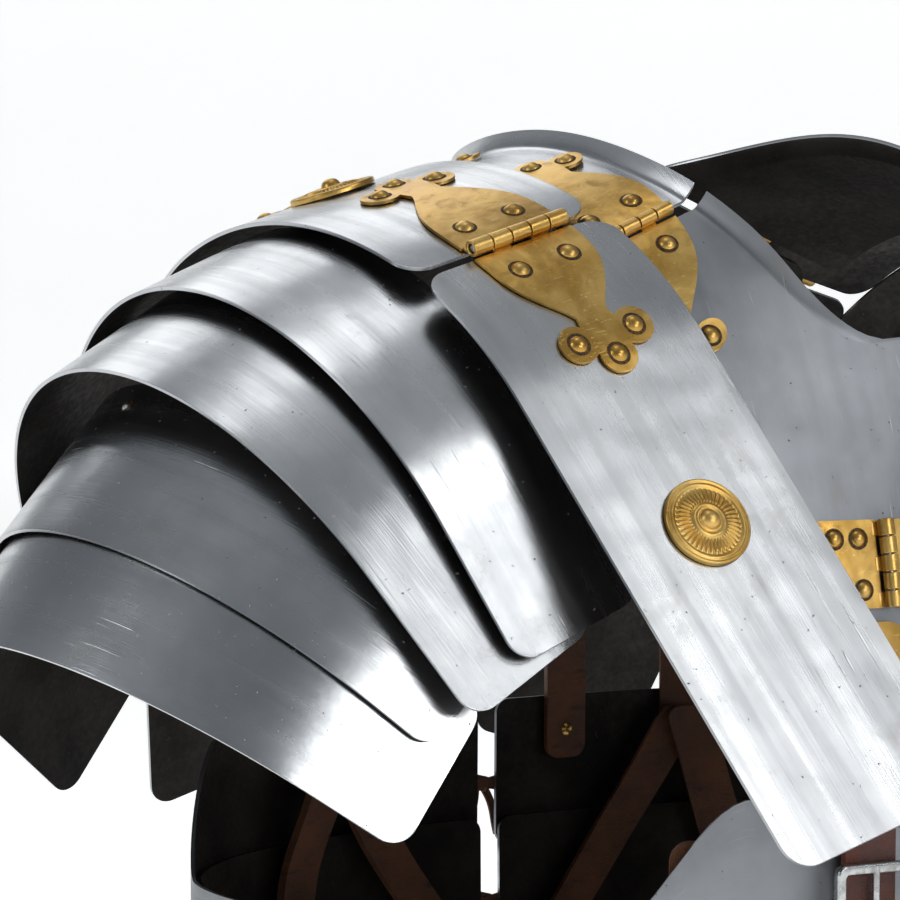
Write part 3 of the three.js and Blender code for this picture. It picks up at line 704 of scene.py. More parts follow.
# Vegetable-tanned leather with a fine grain and darker creases across it
def tanned_leather(name, dark, light):
    material, tree, shader, place = new_material(name)
    body = place.outputs["Object"]
    cells = add_node(
        tree, "ShaderNodeTexVoronoi", {"feature": "DISTANCE_TO_EDGE"}, Vector=body, Scale=1100.0,
    ).outputs["Distance"]
    creases = noise(tree, stretched(tree, body, (120, 120, 420)), 1.0, 4.0, 0.6, 0.5)
    clouds = noise(tree, body, 60.0, 5.0, 0.65)
    base = mixed(tree, ranged(tree, clouds, 0.3, 0.7, 0.0, 1.0), colour(dark), colour(light))
    base = mixed(tree, ranged(tree, creases, 0.55, 0.75, 0.0, 0.6), base, colour("#1f120b"))
    rough = ranged(tree, clouds, 0.3, 0.7, 0.5, 0.72)
    grained = bumped(tree, ranged(tree, cells, 0.0, 0.35, 0.0, 1.0), 0.00008)
    feed(tree, shader, Base_Color=base, Roughness=rough, Normal=bumped(tree, creases, 0.0003, 1.0, grained))
    return material


# Bright wrought steel of the buckles, the hinge pins and the rivet heads on the third lames
def buckle_steel():
    material, tree, shader, place = new_material("bright_buckle_steel")
    body = place.outputs["Object"]
    wear = noise(tree, body, 240.0, 4.0, 0.6)
    base = mixed(tree, ranged(tree, wear, 0.35, 0.75, 0.0, 1.0), colour("#c3c5c6"), colour("#8a8782"))
    rough = ranged(tree, wear, 0.3, 0.7, 0.18, 0.4)
    feed(tree, shader, Base_Color=base, Roughness=rough, Metallic=1.0, Normal=bumped(tree, wear, 0.0001))
    return material


STEEL_LOOK = polished_steel("polished_plate_steel", "#c9cbcd", "#b1b4b7", 0.17, 0.27, 0.35)
SATIN_LOOK = polished_steel("satin_plate_steel", "#bcbec0", "#a6a8aa", 0.2, 0.29, 0.5)
# The chest plates and the top hoop take a rougher steel, whose darker colour is painted shade
DULL_SHADED_LOOK = polished_steel("dull_chest_plate_steel", "#8b8e92", "#75787c", 0.36, 0.45, 0.3)
# The hoops' steel has painted shade in a band below the edge of the hoop above
HOOP_LOOK = polished_steel("hooped_plate_steel", "#bfc2c6", "#a5a9ae", 0.22, 0.34, 0.45, (9.5, 14.5))
INNER_LOOK = dark_steel()
BRASS_LOOK = worn_brass()
GRIME_LOOK = joint_grime()
LEATHER_LOOK = tanned_leather("brown_tanned_leather", "#4a2b1a", "#6d4328")
RED_LEATHER_LOOK = tanned_leather("dark_red_brown_leather", "#3a1a12", "#5c2c1e")
BUCKLE_LOOK = buckle_steel()
PLATE = [STEEL_LOOK, INNER_LOOK]
SATIN_PLATE = [SATIN_LOOK, INNER_LOOK]
DULL_SHADED_PLATE = [DULL_SHADED_LOOK, INNER_LOOK]
HOOP_PLATE = [HOOP_LOOK, INNER_LOOK]
FITTING = [BRASS_LOOK, BRASS_LOOK, GRIME_LOOK, BUCKLE_LOOK]
LEATHERWORK = [LEATHER_LOOK, BRASS_LOOK, GRIME_LOOK]


# Steel plates of the shoulder guards and the collar unit

def strip(name, surface, start, end, low, high, corner, side, body, replaced, look):
    stations = rounded_stations(start, end, corner)
    columns = round((high - low) / GRID_STEP) + 1

    def place_of(row, column):
        along, inset = stations[round(row)]
        return along, lerp(low + inset, high - inset, column / (columns - 1))

    def at(row, column, lift):
        along, across = place_of(row, column)
        return surface(along, across, lift)

    finished(name, plate(len(stations), columns, at, place_of, STEEL, side), body, look, replaced)


def collar_plate(name, shares, along_of, outer_edge, inner_lift, side, replaced, look):
    """One plate of the collar unit, with its flange turned up along the neck."""
    widest = max(outer_edge(share) - CENTRE_GAP for share, _ in shares)
    columns = FLANGE_COLUMNS + round(widest / GRID_STEP)
    rows = []
    for share, inset in shares:
        low = CENTRE_GAP
        high = NECK_HALF_WIDTH
        while high - low > 0.005:
            middle = (low + high) / 2
            if middle > neck_out(collar_sheet(middle, along_of(share, middle)).y):
                high = middle
            else:
                low = middle
        forward = collar_sheet(low, along_of(share, low)).y
        reach = NECK_BACK if forward < 0 else NECK_FRONT
        fade = 1 - FLANGE_FADE * smoothstep(abs(forward) / reach, FLANGE_FADE_FROM, 1)
        lift = FLANGE_LIFT * fade * smoothstep(low, CENTRE_GAP, CENTRE_GAP + FLANGE_RISE)
        rows.append((share, low, lift, outer_edge(share) - inset))

    def place_of(row, column):
        share, low, _, outer = rows[round(row)]
        if column <= FLANGE_COLUMNS:
            out = low + FLANGE_WIDTH * column / FLANGE_COLUMNS
        else:
            part = (column - FLANGE_COLUMNS) / (columns - 1 - FLANGE_COLUMNS)
            out = lerp(low + FLANGE_WIDTH, outer, part)
        return along_of(share, out), out

    def at(row, column, lift):
        along, out = place_of(row, column)
        flange = rows[round(row)][2]
        turned_up = flange * max(0.0, 1 - column / FLANGE_COLUMNS) ** 1.6
        return collar_point(out, along, turned_up + inner_lift + lift)

    finished(name, plate(len(rows), columns, at, place_of, STEEL, side), "cuirass", look, replaced)


def shares_for(length, corner=COLLAR_CORNER):
    return [(along / length, inset) for along, inset in rounded_stations(0, length, corner)]


def chest_outer(share):
    wide, bottom, taper_from, taper_to = CHEST_PLATE_OUTER
    return lerp(wide, bottom, smoothstep(share, taper_from, taper_to))


def build_collar(side_name, side):
    top = COLLAR_HINGE_AT + COLLAR_EDGE_GAP
    edge = COLLAR_HINGE_AT - COLLAR_EDGE_GAP
    back_end = BACK_OVERLAP_FROM + BACK_OVERLAP
    chest_ends = {}

    def chest_along(share, out):
        key = round(out, 2)
        if key not in chest_ends:
            chest_ends[key] = along_at_up(out, CHEST_BOTTOM, 1)
        return lerp(top, chest_ends[key], share)

    def back_along(share, out):
        return lerp(-BACK_OVERLAP_FROM, along_at_up(out, BACK_BOTTOM, -1), share)

    # The chest plate's darker steel is painted shade
    collar_plate(
        f"chest_plate_{side_name}", shares_for(CHEST_RUN), chest_along, chest_outer, 0, side,
        [f"breastplate_{side_name}"], DULL_SHADED_PLATE,
    )
    collar_plate(
        f"collar_plate_{side_name}", shares_for(2 * edge), lambda share, out: lerp(-edge, edge, share),
        lambda share: MID_PLATE_OUTER, 0, side, [f"mid_collar_plate_{side_name}"], PLATE,
    )
    collar_plate(
        f"upper_back_{side_name}", shares_for(back_end - top),
        lambda share, out: -lerp(top, back_end, share),
        lambda share: BACK_PLATE_OUTER, 0, side, [f"back_plate_upper_{side_name}"], PLATE,
    )
    collar_plate(
        f"lower_back_{side_name}", shares_for(LOWER_BACK_RUN), back_along,
        lambda share: BACK_PLATE_OUTER, -BACK_TUCK, side, [f"back_plate_lower_{side_name}"], PLATE,
    )


def build_lame_rivet(side_name, side):
    """The bright head that shows under the second lame's edge, on the third lame."""
    bm = bmesh.new()
    rivet_on(bm, lame_surfaces[2], LAME_RIVET_ALONG, LAME_RIVET_ACROSS, 0, side, LAME_RIVET_SIZE, 1)
    finished(f"lame_rivet_{side_name}", bm, "cuirass", [STEEL_LOOK, BUCKLE_LOOK, GRIME_LOOK])


def build_guard(side_name, side):
    half = GUARD_WIDTH / 2
    front = GUARD_FRONT_HINGE_AT
    back = -GUARD_BACK_HINGE_AT
    gap = GUARD_EDGE_GAP
    strip(
        f"guard_top_{side_name}", guard_surface, back + gap, front - gap, -half, half, GUARD_CORNER,
        side, "cuirass", [f"shoulder_top_plate_{side_name}"], PLATE,
    )
    strip(
        f"guard_front_{side_name}", guard_surface, front + gap, GUARD_FRONT_END, -half, half, GUARD_CORNER,
        side, f"front_guard_{side_name}", [f"shoulder_front_plate_{side_name}"], SATIN_PLATE,
    )
    strip(
        f"guard_back_{side_name}", guard_surface, back - gap, -GUARD_BACK_END, -half, half, GUARD_CORNER,
        side, f"back_guard_{side_name}", [f"shoulder_back_plate_{side_name}"], SATIN_PLATE,
    )
    for number, (*_, front_leg, back_leg, width) in enumerate(LAME_ROWS):
        strip(
            f"lame_{number + 1}_{side_name}", lame_surfaces[number], -back_leg, front_leg, 0, width,
            LAME_CORNER, side, "cuirass", [f"shoulder_lame_{number + 1}_{side_name}"], PLATE,
        )


# Girdle hoops, with steps of even length round the body

def hoop_turns(number):
    fine = 3000
    points = []
    for i in range(fine + 1):
        turn = math.pi * i / fine
        points.append((turn, *hoop_plan(turn, HOOP_INSET + HOOP_WAIST[number])))
    lengths = [0.0]
    for one, other in zip(points, points[1:]):
        lengths.append(lengths[-1] + math.hypot(other[1] - one[1], other[2] - one[2]))
    return points, lengths


def turn_at(points, lengths, length):
    low = 0
    high = len(lengths) - 1
    while high - low > 1:
        middle = (low + high) // 2
        if lengths[middle] < length:
            low = middle
        else:
            high = middle
    span = lengths[high] - lengths[low]
    part = (length - lengths[low]) / span if span else 0
    return lerp(points[low][0], points[high][0], part)


def hoop_point(number, turn, share, lift):
    """A point on a hoop's outer face: share runs from its top edge down to its lower edge."""
    top = HOOP_TOP - number * HOOP_PITCH
    next_waist = HOOP_WAIST[min(number + 1, len(HOOP_WAIST) - 1)]
    scoop = arm_scoop(turn) if number == 0 else 0
    narrowing = lerp(HOOP_WAIST[number], next_waist - HOOP_FLARE, share)
    out, forward = hoop_plan(turn, HOOP_INSET + narrowing - lift)
    return Vector((out, forward, lerp(top - scoop, top - HOOP_HEIGHT, share)))


def build_hoop(number, side_name, side):
    points, lengths = hoop_turns(number)
    stations = rounded_stations(0, lengths[-1], HOOP_CORNER, HOOP_STEP)
    turns = [turn_at(points, lengths, along) for along, _ in stations]

    def share_of(row, column):
        inset = stations[round(row)][1] / HOOP_HEIGHT
        return lerp(inset, 1 - inset, column / (HOOP_COLUMNS - 1))

    def at(row, column, lift):
        return hoop_point(number, turns[round(row)], share_of(row, column), lift)

    def uv(row, column):
        return stations[round(row)][0] + HOOP_UV_SHIFT * number, share_of(row, column) * HOOP_HEIGHT

    bm = plate(len(stations), HOOP_COLUMNS, at, uv, STEEL, side)
    name = f"hoop_{number + 1}_{side_name}"
    # The top hoop takes the rougher steel, whose darker colour is painted shade
    look = HOOP_PLATE if number else DULL_SHADED_PLATE
    finished(name, bm, "cuirass", look, [f"girdle_hoop_{number + 1}_{side_name}"])


# Rivets: domed heads, in a faint ring of dirt where they show

RIVET_DOME = [
    (0, 1.75), (0.55, 1.72), (1.1, 1.6), (1.65, 1.38), (2.15, 1.05), (2.55, 0.66), (2.82, 0.3),
    (2.95, 0.05), (2.95, -0.15),
]
RIVET_RING = [(2.8, 0.22), (3.3, 0.1), (3.9, -0.05)]


def add_rivet(target, foot, normal, size=1.0, head=0, ring=True):
    stand = standing(foot, normal) @ Matrix.Scale(size, 4)
    added(target, turned(RIVET_DOME, 24), stand, head)
    if ring:
        added(target, turned(RIVET_RING, 24), stand, 2)


def rivet_on(target, surface, along, across, lift, side, size=1.0, head=0):
    foot = placed(surface(along, across, lift), side)
    above = placed(surface(along, across, lift + 1), side)
    add_rivet(target, foot, away_from(foot, above), size, head)


# Hinges

def smooth_waist(reach, scale, steps=4):
    knots = [(part * reach, half * scale) for part, half in LEAF_WAIST]
    ends = [knots[0]] + knots + [(reach - 0.64 * LOBE_RADIUS * scale, 0.55 * LOBE_ACROSS * scale)]
    line = []
    for i in range(1, len(ends) - 2):
        before, here, there, after = ends[i - 1], ends[i], ends[i + 1], ends[i + 2]
        for k in range(steps):
            t = k / steps
            point = []
            for axis in (0, 1):
                a, b, c, d = before[axis], here[axis], there[axis], after[axis]
                cubic = 2 * b + (c - a) * t + (2 * a - 5 * b + 4 * c - d) * t * t
                point.append((cubic + (3 * b - a - 3 * c + d) * t ** 3) / 2)
            line.append(tuple(point))
    return line


def lobed_half(reach, scale):
    """Half outline of a leaf from the pin to the tip: body, side lobe, tip lobe."""
    radius = LOBE_RADIUS * scale
    half = smooth_waist(reach, scale)
    for turn in range(-40, 206, 12):
        angle = math.radians(turn)
        half.append((reach - radius * math.cos(angle), LOBE_ACROSS * scale + radius * math.sin(angle)))
    for turn in range(72, 181, 12):
        angle = math.radians(turn)
        half.append((reach + TIP_BEYOND * scale - radius * math.cos(angle), radius * math.sin(angle)))
    return half


def mirrored_outline(half):
    return half + [(along, -across) for along, across in reversed(half) if across > 0.01]


def leaf_rivets(reach, scale):
    """Places of a leaf's rivets: two by the pin and one in each lobe."""
    by_pin, beside = (size * scale for size in RIVET_BY_PIN)
    side_lobe = LOBE_ACROSS * scale
    tip_lobe = reach + TIP_BEYOND * scale
    return [(by_pin, beside), (by_pin, -beside), (reach, side_lobe), (reach, -side_lobe), (tip_lobe, 0)]


def add_knuckles(
    target, at, span, knuckles, side, radius=BARREL_RADIUS, bore=BORE_RADIUS, tab_from=-0.4, tab_past=1.4,
):
    """Rolled knuckles along the pin, each with the tab that runs into its leaf."""
    size = span / KNUCKLES
    tab_to = radius + tab_past
    for number in knuckles:
        low = -span / 2 + number * size + KNUCKLE_GAP / 2
        high = low + size - KNUCKLE_GAP
        bar_between(target, at(0, low, radius), at(0, high, radius), radius, bore, side, 0)
        start = low + TAB_INSET
        end = high - TAB_INSET
        tab = [(tab_from, start), (tab_to, start), (tab_to, end), (tab_from, end)]
        added(target, cut_sheet(tab, at, TAB_THICKNESS, side), None, 0)


def add_pin(target, at, span, side, height=BARREL_RADIUS, radius=PIN_RADIUS):
    reach = span / 2 - PIN_INSET
    bar_between(target, at(0, -reach, height), at(0, reach, height), radius, 0, side, 3)


def build_shoulder_hinge(node, side_name, side, body, pin_at, away, reach, fixed):
    def at(along, across, lift):
        return guard_surface(pin_at + away * along, HINGE_ACROSS + across, SEAT_GAP + lift)

    bm = one_look(cut_sheet(mirrored_outline(lobed_half(reach, 1)), at, BRASS, side))
    add_knuckles(bm, at, KNUCKLE_SPAN, FIXED_KNUCKLES if fixed else MOVING_KNUCKLES, side)
    if fixed:
        add_pin(bm, at, KNUCKLE_SPAN, side)
    for along, across in leaf_rivets(reach, 1):
        rivet_on(bm, at, along, across, BRASS, side)
    finished(f"{node}_brass_{side_name}", bm, body, FITTING, [f"{node}_{side_name}"])


def build_collar_hinge(node, side_name, side, end):
    scale = COLLAR_LEAF_SCALE
    radius = BARREL_RADIUS * scale
    span = KNUCKLE_SPAN * scale

    def at(along, across, lift):
        return collar_point(COLLAR_HINGE_OUT - across, end * (COLLAR_HINGE_AT + along), COLLAR_SEAT + lift)

    bm = bmesh.new()
    for way, leaf, knuckles in (
        (1, "collar_lower", MOVING_KNUCKLES), (-1, "collar_upper", FIXED_KNUCKLES),
    ):
        def laid(along, across, lift, way=way):
            return at(way * along, across, lift)

        reach = LEAF_REACH[leaf]
        added(bm, cut_sheet(mirrored_outline(lobed_half(reach, scale)), laid, BRASS, side), None, 0)
        for along, across in leaf_rivets(reach, scale):
            rivet_on(bm, laid, along, across, BRASS, side, 0.92)
        add_knuckles(bm, laid, span, knuckles, side, radius, radius * 0.6, 0, 2.2)
    add_pin(bm, at, span, side, radius, radius * 0.5)
    finished(f"{node}_brass_{side_name}", bm, "cuirass", FITTING, [f"{node}_{side_name}"])


# Rosettes: pressed discs with a double rim, a ring of ribs, a plain ring and a domed rivet

ROSETTE_LINE = [
    (0, 4.75), (0.8, 4.7), (1.6, 4.45), (2.3, 4.0), (2.8, 3.4), (3.1, 2.75), (3.2, 2.35), (3.7, 2.2),
    (4.2, 2.35), (4.7, 2.55), (5.2, 2.5), (5.6, 2.2), (5.9, 1.95), (6.5, 2.0), (7.2, 1.98), (8.0, 1.88),
    (8.8, 1.72), (9.5, 1.52), (10.1, 1.32), (10.5, 1.2), (10.9, 1.3), (11.3, 1.62), (11.75, 1.7),
    (12.15, 1.45), (12.4, 1.3), (12.7, 1.42), (13.05, 1.68), (13.4, 1.6), (13.62, 1.3), (13.7, 0.9),
    (13.7, 0.0), (13.2, 0.0),
]


def build_rosette(node, side_name, side, body, along):
    bm = turned(ROSETTE_LINE, ROSETTE_RIBS * 6)
    for vert in bm.verts:
        radius = math.hypot(vert.co.x, vert.co.y) / MM
        rib_room = smoothstep(radius, 5.9, 6.6) * (1 - smoothstep(radius, 9.6, 10.6))
        angle = math.atan2(vert.co.y, vert.co.x)
        vert.co.z += 0.3 * rib_room * math.cos(ROSETTE_RIBS * angle) * MM
    foot = placed(guard_surface(along, 0, SEAT_GAP), side)
    above = placed(guard_surface(along, 0, SEAT_GAP + 1), side)
    bmesh.ops.transform(bm, matrix=standing(foot, away_from(foot, above)), verts=bm.verts[:])
    finished(f"{node}_disc_{side_name}", bm, body, FITTING, [f"{node}_{side_name}"], 60)


def build_fittings(side_name, side):
    for end, pin_at, outward, upper, lower in (
        ("front", GUARD_FRONT_HINGE_AT, 1, "upper", "lower"),
        ("back", -GUARD_BACK_HINGE_AT, -1, "back", "back"),
    ):
        for leaf, body, away, reach, fixed in (
            ("upper", "cuirass", -outward, LEAF_REACH[upper], True),
            ("lower", f"{end}_guard_{side_name}", outward, LEAF_REACH[lower], False),
        ):
            node = f"shoulder_{end}_hinge_{leaf}"
            build_shoulder_hinge(node, side_name, side, body, pin_at, away, reach, fixed)
    build_collar_hinge("collar_front_hinge", side_name, side, 1)
    build_collar_hinge("collar_back_hinge", side_name, side, -1)
    build_rosette("rosette_front", side_name, side, f"front_guard_{side_name}", ROSETTE_FRONT_AT)
    build_rosette("rosette_top", side_name, side, "cuirass", ROSETTE_TOP_AT)


# Leathers

def build_shoulder_leather(side_name, side):
    def collar_map(along, across, lift):
        return collar_point(across, along, lift)

    stops = [
        (collar_map, 100, -LEATHER_DEPTH), (collar_map, 111, -LEATHER_DEPTH),
        (guard_surface, 6, STEEL + LEATHER_DEPTH), (guard_surface, -8, STEEL + LEATHER_DEPTH),
    ]
    for surface, width in zip(lame_surfaces, LAME_WIDTHS):
        for past_edge, dip in ((2, LEATHER_DIP), (-7, 0), (-16, 0)):
            stops.append((surface, width + past_edge, STEEL + LEATHER_DEPTH + dip))
    parts = 4
    rows = (len(stops) - 1) * parts + 1
    half = LEATHER_HALF - 0.3

    def stop_point(number, along, lift):
        surface, across, depth = stops[number]
        return surface(along, across, lift - depth)

    def at(row, column, lift):
        along = lerp(-half, half, column / (STRAP_COLUMNS - 1))
        number = min(int(round(row) // parts), len(stops) - 2)
        part = (round(row) - number * parts) / parts
        raised = LEATHER / 2 + lift
        return stop_point(number, along, raised).lerp(stop_point(number + 1, along, raised), part)

    bm = one_look(plate(rows, STRAP_COLUMNS, at, lambda row, column: (row * 2, column * 3), LEATHER, side))
    for surface, width in zip(lame_surfaces, LAME_WIDTHS):
        for along in (-LEATHER_RIVET_ALONG, LEATHER_RIVET_ALONG):
            foot = placed(surface(along, width - 11, -STEEL - LEATHER_DEPTH - LEATHER / 2), side)
            above = placed(surface(along, width - 11, 0), side)
            add_rivet(bm, foot, away_from(above, foot), 0.8, 1, False)
    replaced = [f"shoulder_leather_{side_name}"]
    finished(f"shoulder_strap_{side_name}", bm, "cuirass", LEATHERWORK, replaced)


def girdle_strap_point(turn, up, lift):
    """Inner face of the girdle, on the narrowest line that clears each hoop below."""
    last = len(HOOP_WAIST) - 1
    row = min(max((HOOP_TOP - up) / HOOP_PITCH, 0), last)
    number = min(int(row), last - 1)
    waist = lerp(HOOP_WAIST[number], HOOP_WAIST[number + 1], row - number)
    out, forward = hoop_plan(turn, HOOP_INSET + waist + STEEL + 0.3 + LEATHER - lift)
    return Vector((out, forward, up))


def turn_on(path, up):
    """Turn of a strap's middle at a height, in radians."""
    if up >= path[0][1] or len(path) == 1:
        return math.radians(path[0][0])
    for (turn_above, above), (turn_below, below) in zip(path, path[1:]):
        if up >= below:
            return math.radians(lerp(turn_above, turn_below, (above - up) / (above - below)))
    return math.radians(path[-1][0])


def turn_per_mm(turn):
    here = Vector(hoop_plan(turn, 8))
    beside = Vector(hoop_plan(turn + 0.02, 8))
    return 0.02 / (beside - here).length


def upright_strap(point_at, half, stations, columns, side):
    """A leather strap that hangs along (up, inset) stations."""
    def at(row, column, lift):
        up, inset = stations[round(row)]
        return point_at(lerp(-half + inset, half - inset, column / (columns - 1)), up, lift)

    bm = plate(len(stations), columns, at, lambda row, column: (row * 3, column * 3), LEATHER, side)
    return one_look(bm)


def build_girdle_straps(side_name, side):
    bottom = HOOP_TOP - 5 * HOOP_PITCH - HOOP_HEIGHT + 12
    for name, (path, half, depth) in GIRDLE_STRAPS.items():
        top = HOOP_TOP - arm_scoop(turn_on(path, HOOP_TOP)) - 5

        def strap_point(across, up, lift, path=path, depth=depth):
            middle = turn_on(path, up)
            sunk = depth * smoothstep(up, *STRAP_FADE)
            return girdle_strap_point(middle + across * turn_per_mm(middle), up, lift - sunk)

        bm = upright_strap(strap_point, half, rounded_stations(top, bottom, 6), STRAP_COLUMNS, side)
        for hoop in range(len(HOOP_WAIST)):
            up = HOOP_TOP - (hoop + 0.5) * HOOP_PITCH - 5
            middle = turn_on(path, up)
            if hoop == 0 and arm_scoop(middle) > 5:
                continue
            for across in (-STRAP_RIVET_ACROSS, STRAP_RIVET_ACROSS):
                turn = middle + across * turn_per_mm(middle)
                outside = hoop_point(hoop, turn, 0.5, 0)
                inside = strap_point(across, outside.z, 0)
                inside.z = outside.z
                face_out = away_from(placed(inside, side), placed(outside, side))
                add_rivet(bm, placed(outside, side), face_out, 0.62, 1)
                add_rivet(bm, placed(inside, side), -face_out, 0.7, 1, False)
        finished(f"girdle_strap_{name}_{side_name}", bm, "cuirass", LEATHERWORK)


def build_back_ties(side_name, side):
    """Short leathers that hang the girdle's top hoop on the lower back plate."""
    stations = rounded_stations(BACK_BOTTOM + 14, HOOP_TOP - 22, 5)
    for number, degrees in enumerate(BACK_TIE_TURNS):
        middle = math.radians(degrees)

        def tie_point(across, up, lift, middle=middle):
            turn = middle + across * turn_per_mm(middle)
            under_plate = STEEL + 0.3
            under_hoop = HOOP_INSET + STEEL + 0.3
            inset = lerp(under_hoop, under_plate, smoothstep(up, HOOP_TOP, BACK_BOTTOM))
            out, forward = hoop_plan(turn, inset - lift)
            return Vector((out, forward, up))

        bm = upright_strap(tie_point, BACK_TIE_HALF, stations, 7, side)
        for up in (BACK_BOTTOM + 7, HOOP_TOP - 12):
            inside = placed(tie_point(0, up, -LEATHER), side)
            outside = placed(tie_point(0, up, 0), side)
            face_out = away_from(inside, outside)
            add_rivet(bm, inside, -face_out, 0.8, 1, False)
            through = STEEL + 0.3
            add_rivet(bm, outside + face_out * through * MM, face_out, 0.8, 1)
        finished(f"back_tie_{number + 1}_{side_name}", bm, "cuirass", LEATHERWORK)


# Laces that close the girdle at the front and back: brass loops, two crossed thongs, a knot and tails

def closing_point(hoop, end, out, up, lift):
    """A point by the centre line of a hoop: end is 1 at the front and -1 at the back, out is signed."""
    next_waist = HOOP_WAIST[min(hoop + 1, len(HOOP_WAIST) - 1)]
    share = (HOOP_TOP - hoop * HOOP_PITCH - up) / HOOP_HEIGHT
    inset = HOOP_INSET + lerp(HOOP_WAIST[hoop], next_waist - HOOP_FLARE, share)
    depth = (CHEST_DEPTH if end > 0 else BACK_DEPTH - BACK_TUCK) - inset
    curve = trunk_curve(abs(out))
    return Vector((out, end * (depth * curve + lift), up))


def add_loop(target, hoop, end, out, up):
    ring = []
    for step in range(13):
        turn = math.radians(30 * step)
        ring.append((LOOP_RADIUS + LOOP_WIRE * math.cos(turn), LOOP_WIRE * math.sin(turn)))
    part = turned(ring, 28)
    foot = placed(closing_point(hoop, end, out, up, 0.6), 1)
    lay = Matrix.Translation(foot) @ Matrix.Rotation(math.radians(90), 4, "Y")
    bmesh.ops.transform(part, matrix=lay, verts=part.verts[:])
    away = away_from(foot, placed(closing_point(hoop, end, out, up, 1.6), 1))
    parts = part.verts[:] + part.edges[:] + part.faces[:]
    cut_at = foot - away * LOOP_CUT * MM
    bmesh.ops.bisect_plane(part, geom=parts, dist=1e-7, plane_co=cut_at, plane_no=away, clear_inner=True)
    added(target, part, None, 1)


def add_thong(target, hoop, end, line, width):
    """A flat thong along (out, up, lift) points, widest across its run."""
    rows = len(line)

    def at(row, column, lift):
        out, up, raised = line[round(row)]
        before = line[max(round(row) - 1, 0)]
        after = line[min(round(row) + 1, rows - 1)]
        run = Vector((after[0] - before[0], after[1] - before[1])).normalized()
        offset = lerp(-width / 2, width / 2, column / 4)
        crown = 0.25 * math.sin(math.pi * column / 4)
        above = raised + crown + THONG_THICKNESS + lift
        return closing_point(hoop, end, out - run.y * offset, up + run.x * offset, above)

    added(target, plate(rows, 5, at, lambda row, column: (row, column), THONG_THICKNESS, 1), None, 0)


def build_laces():
    for end_name, end in (("front", 1), ("back", -1)):
        for hoop in range(len(HOOP_WAIST)):
            bm = bmesh.new()
            level = HOOP_TOP - hoop * HOOP_PITCH - LACE_SHARE * HOOP_HEIGHT
            for out in (-LOOP_OUT, LOOP_OUT):
                add_loop(bm, hoop, end, out, level)
            for way, lift in ((1, 0.5), (-1, 1.8)):
                line = []
                for k in range(17):
                    share = k / 16
                    out = lerp(-LOOP_OUT - 2.2, LOOP_OUT + 2.2, share)
                    slope = way * CROSSING_RISE * math.sin(math.pi * (share - 0.5))
                    line.append((out, level + slope, lift * math.sin(math.pi * share) ** 0.5))
                add_thong(bm, hoop, end, line, THONG_WIDTH)
            for way in (-1, 1):
                tail = []
                for k in range(13):
                    share = k / 12
                    sway = way * (1.2 + 5.5 * share ** 0.8) + 0.6 * math.sin(5 * share + hoop)
                    tail.append((sway, level - 1 - TAIL_LENGTH * share, 2.6 * (1 - share) ** 1.5 + 0.4))
                add_thong(bm, hoop, end, tail, TAIL_WIDTH)
            knot = rounded_bar(5.4, 2.3, 0, 20)
            for vert in knot.verts:
                vert.co.x *= 1.25
            middle = placed(closing_point(hoop, end, 0, level, 3.0), 1)
            added(bm, knot, Matrix.Translation(middle) @ Matrix.Rotation(0.25, 4, "Y"), 0)
            finished(f"girdle_lace_{end_name}_{hoop + 1}", bm, "cuirass", LEATHERWORK)


# Chest closure, ties and buckles

def build_chest_hinge(far):
    away = -1 if far else 1
    side = SIDES["right"]

    def at(along, across, lift):
        return chest_point(CHEST_PIN_OUT + away * along, CHEST_HINGE_UP + across, COLLAR_SEAT + lift)

    length = CHEST_FAR_LEAF_LENGTH if far else CHEST_LEAF_LENGTH
    start = BARREL_RADIUS + 0.3
    half = CHEST_LEAF_HALF
    runs = corner_runs(2.0, 5)
    outline = [(start, half), *[(length - run, half - inset) for run, inset in reversed(runs)]]
    outline += [(along, -across) for along, across in reversed(outline)]
    bm = one_look(cut_sheet(outline, at, BRASS, side))
    add_knuckles(bm, at, 2 * half, MOVING_KNUCKLES if far else FIXED_KNUCKLES, side)
    if not far:
        add_pin(bm, at, 2 * half, side)
    for along, across in ((9, 7.5), (9, -7.5), (length - 6, 7.5), (length - 6, -7.5)):
        rivet_on(bm, at, along, across, BRASS, side, 0.85)
    node = "chest_hinge_left" if far else "chest_hinge_right"
    finished(f"{node}_brass", bm, "cuirass", FITTING, [node])


def build_tie(side_name, side):
    def plate_at(along, across, lift):
        return chest_point(TIE_OUT + across, TIE_PLATE_TOP - along, COLLAR_SEAT + lift)

    half_line = []
    for turn in range(0, 91, 9):
        angle = math.radians(turn)
        along = TIE_PLATE_HALF * 0.7 * (1 - math.cos(angle))
        half_line.append((along, TIE_PLATE_HALF * (0.45 + 0.55 * math.sin(angle))))
    half_line += [(22, TIE_PLATE_HALF), (TIE_PLATE_HEIGHT, TIE_PLATE_HALF)]
    outline = half_line + [(along, -across) for along, across in reversed(half_line)]
    bm = one_look(cut_sheet(outline, plate_at, BRASS, side, GRID_STEP, 4.0))
    for along, across in ((7, 0), (27, -10), (27, 10)):
        rivet_on(bm, plate_at, along, across, BRASS, side)
    finished(f"tie_plate_brass_{side_name}", bm, "cuirass", FITTING, [f"tie_plate_{side_name}"])

    top = TIE_PLATE_TOP - TIE_PLATE_HEIGHT - SEAT_GAP
    length = top - TIE_STRAP_END

    def strap_at(along, across, lift):
        return chest_point(TIE_OUT + across, top - along, SEAT_GAP + lift)

    strap_half = [(0, TIE_STRAP_HALF), (length - 9, TIE_STRAP_HALF)]
    for turn in range(15, 91, 15):
        angle = math.radians(turn)
        across = TIE_STRAP_HALF * (0.25 + 0.75 * math.cos(angle))
        strap_half.append((length - 9 + 9 * math.sin(angle), across))
    strap = one_look(cut_sheet(mirrored_outline(strap_half), strap_at, LEATHER, side, GRID_STEP, 4.5))
    look = [RED_LEATHER_LOOK, RED_LEATHER_LOOK]
    name = f"tie_strap_leather_{side_name}"
    finished(name, strap, "cuirass", look, [f"tie_strap_{side_name}"])


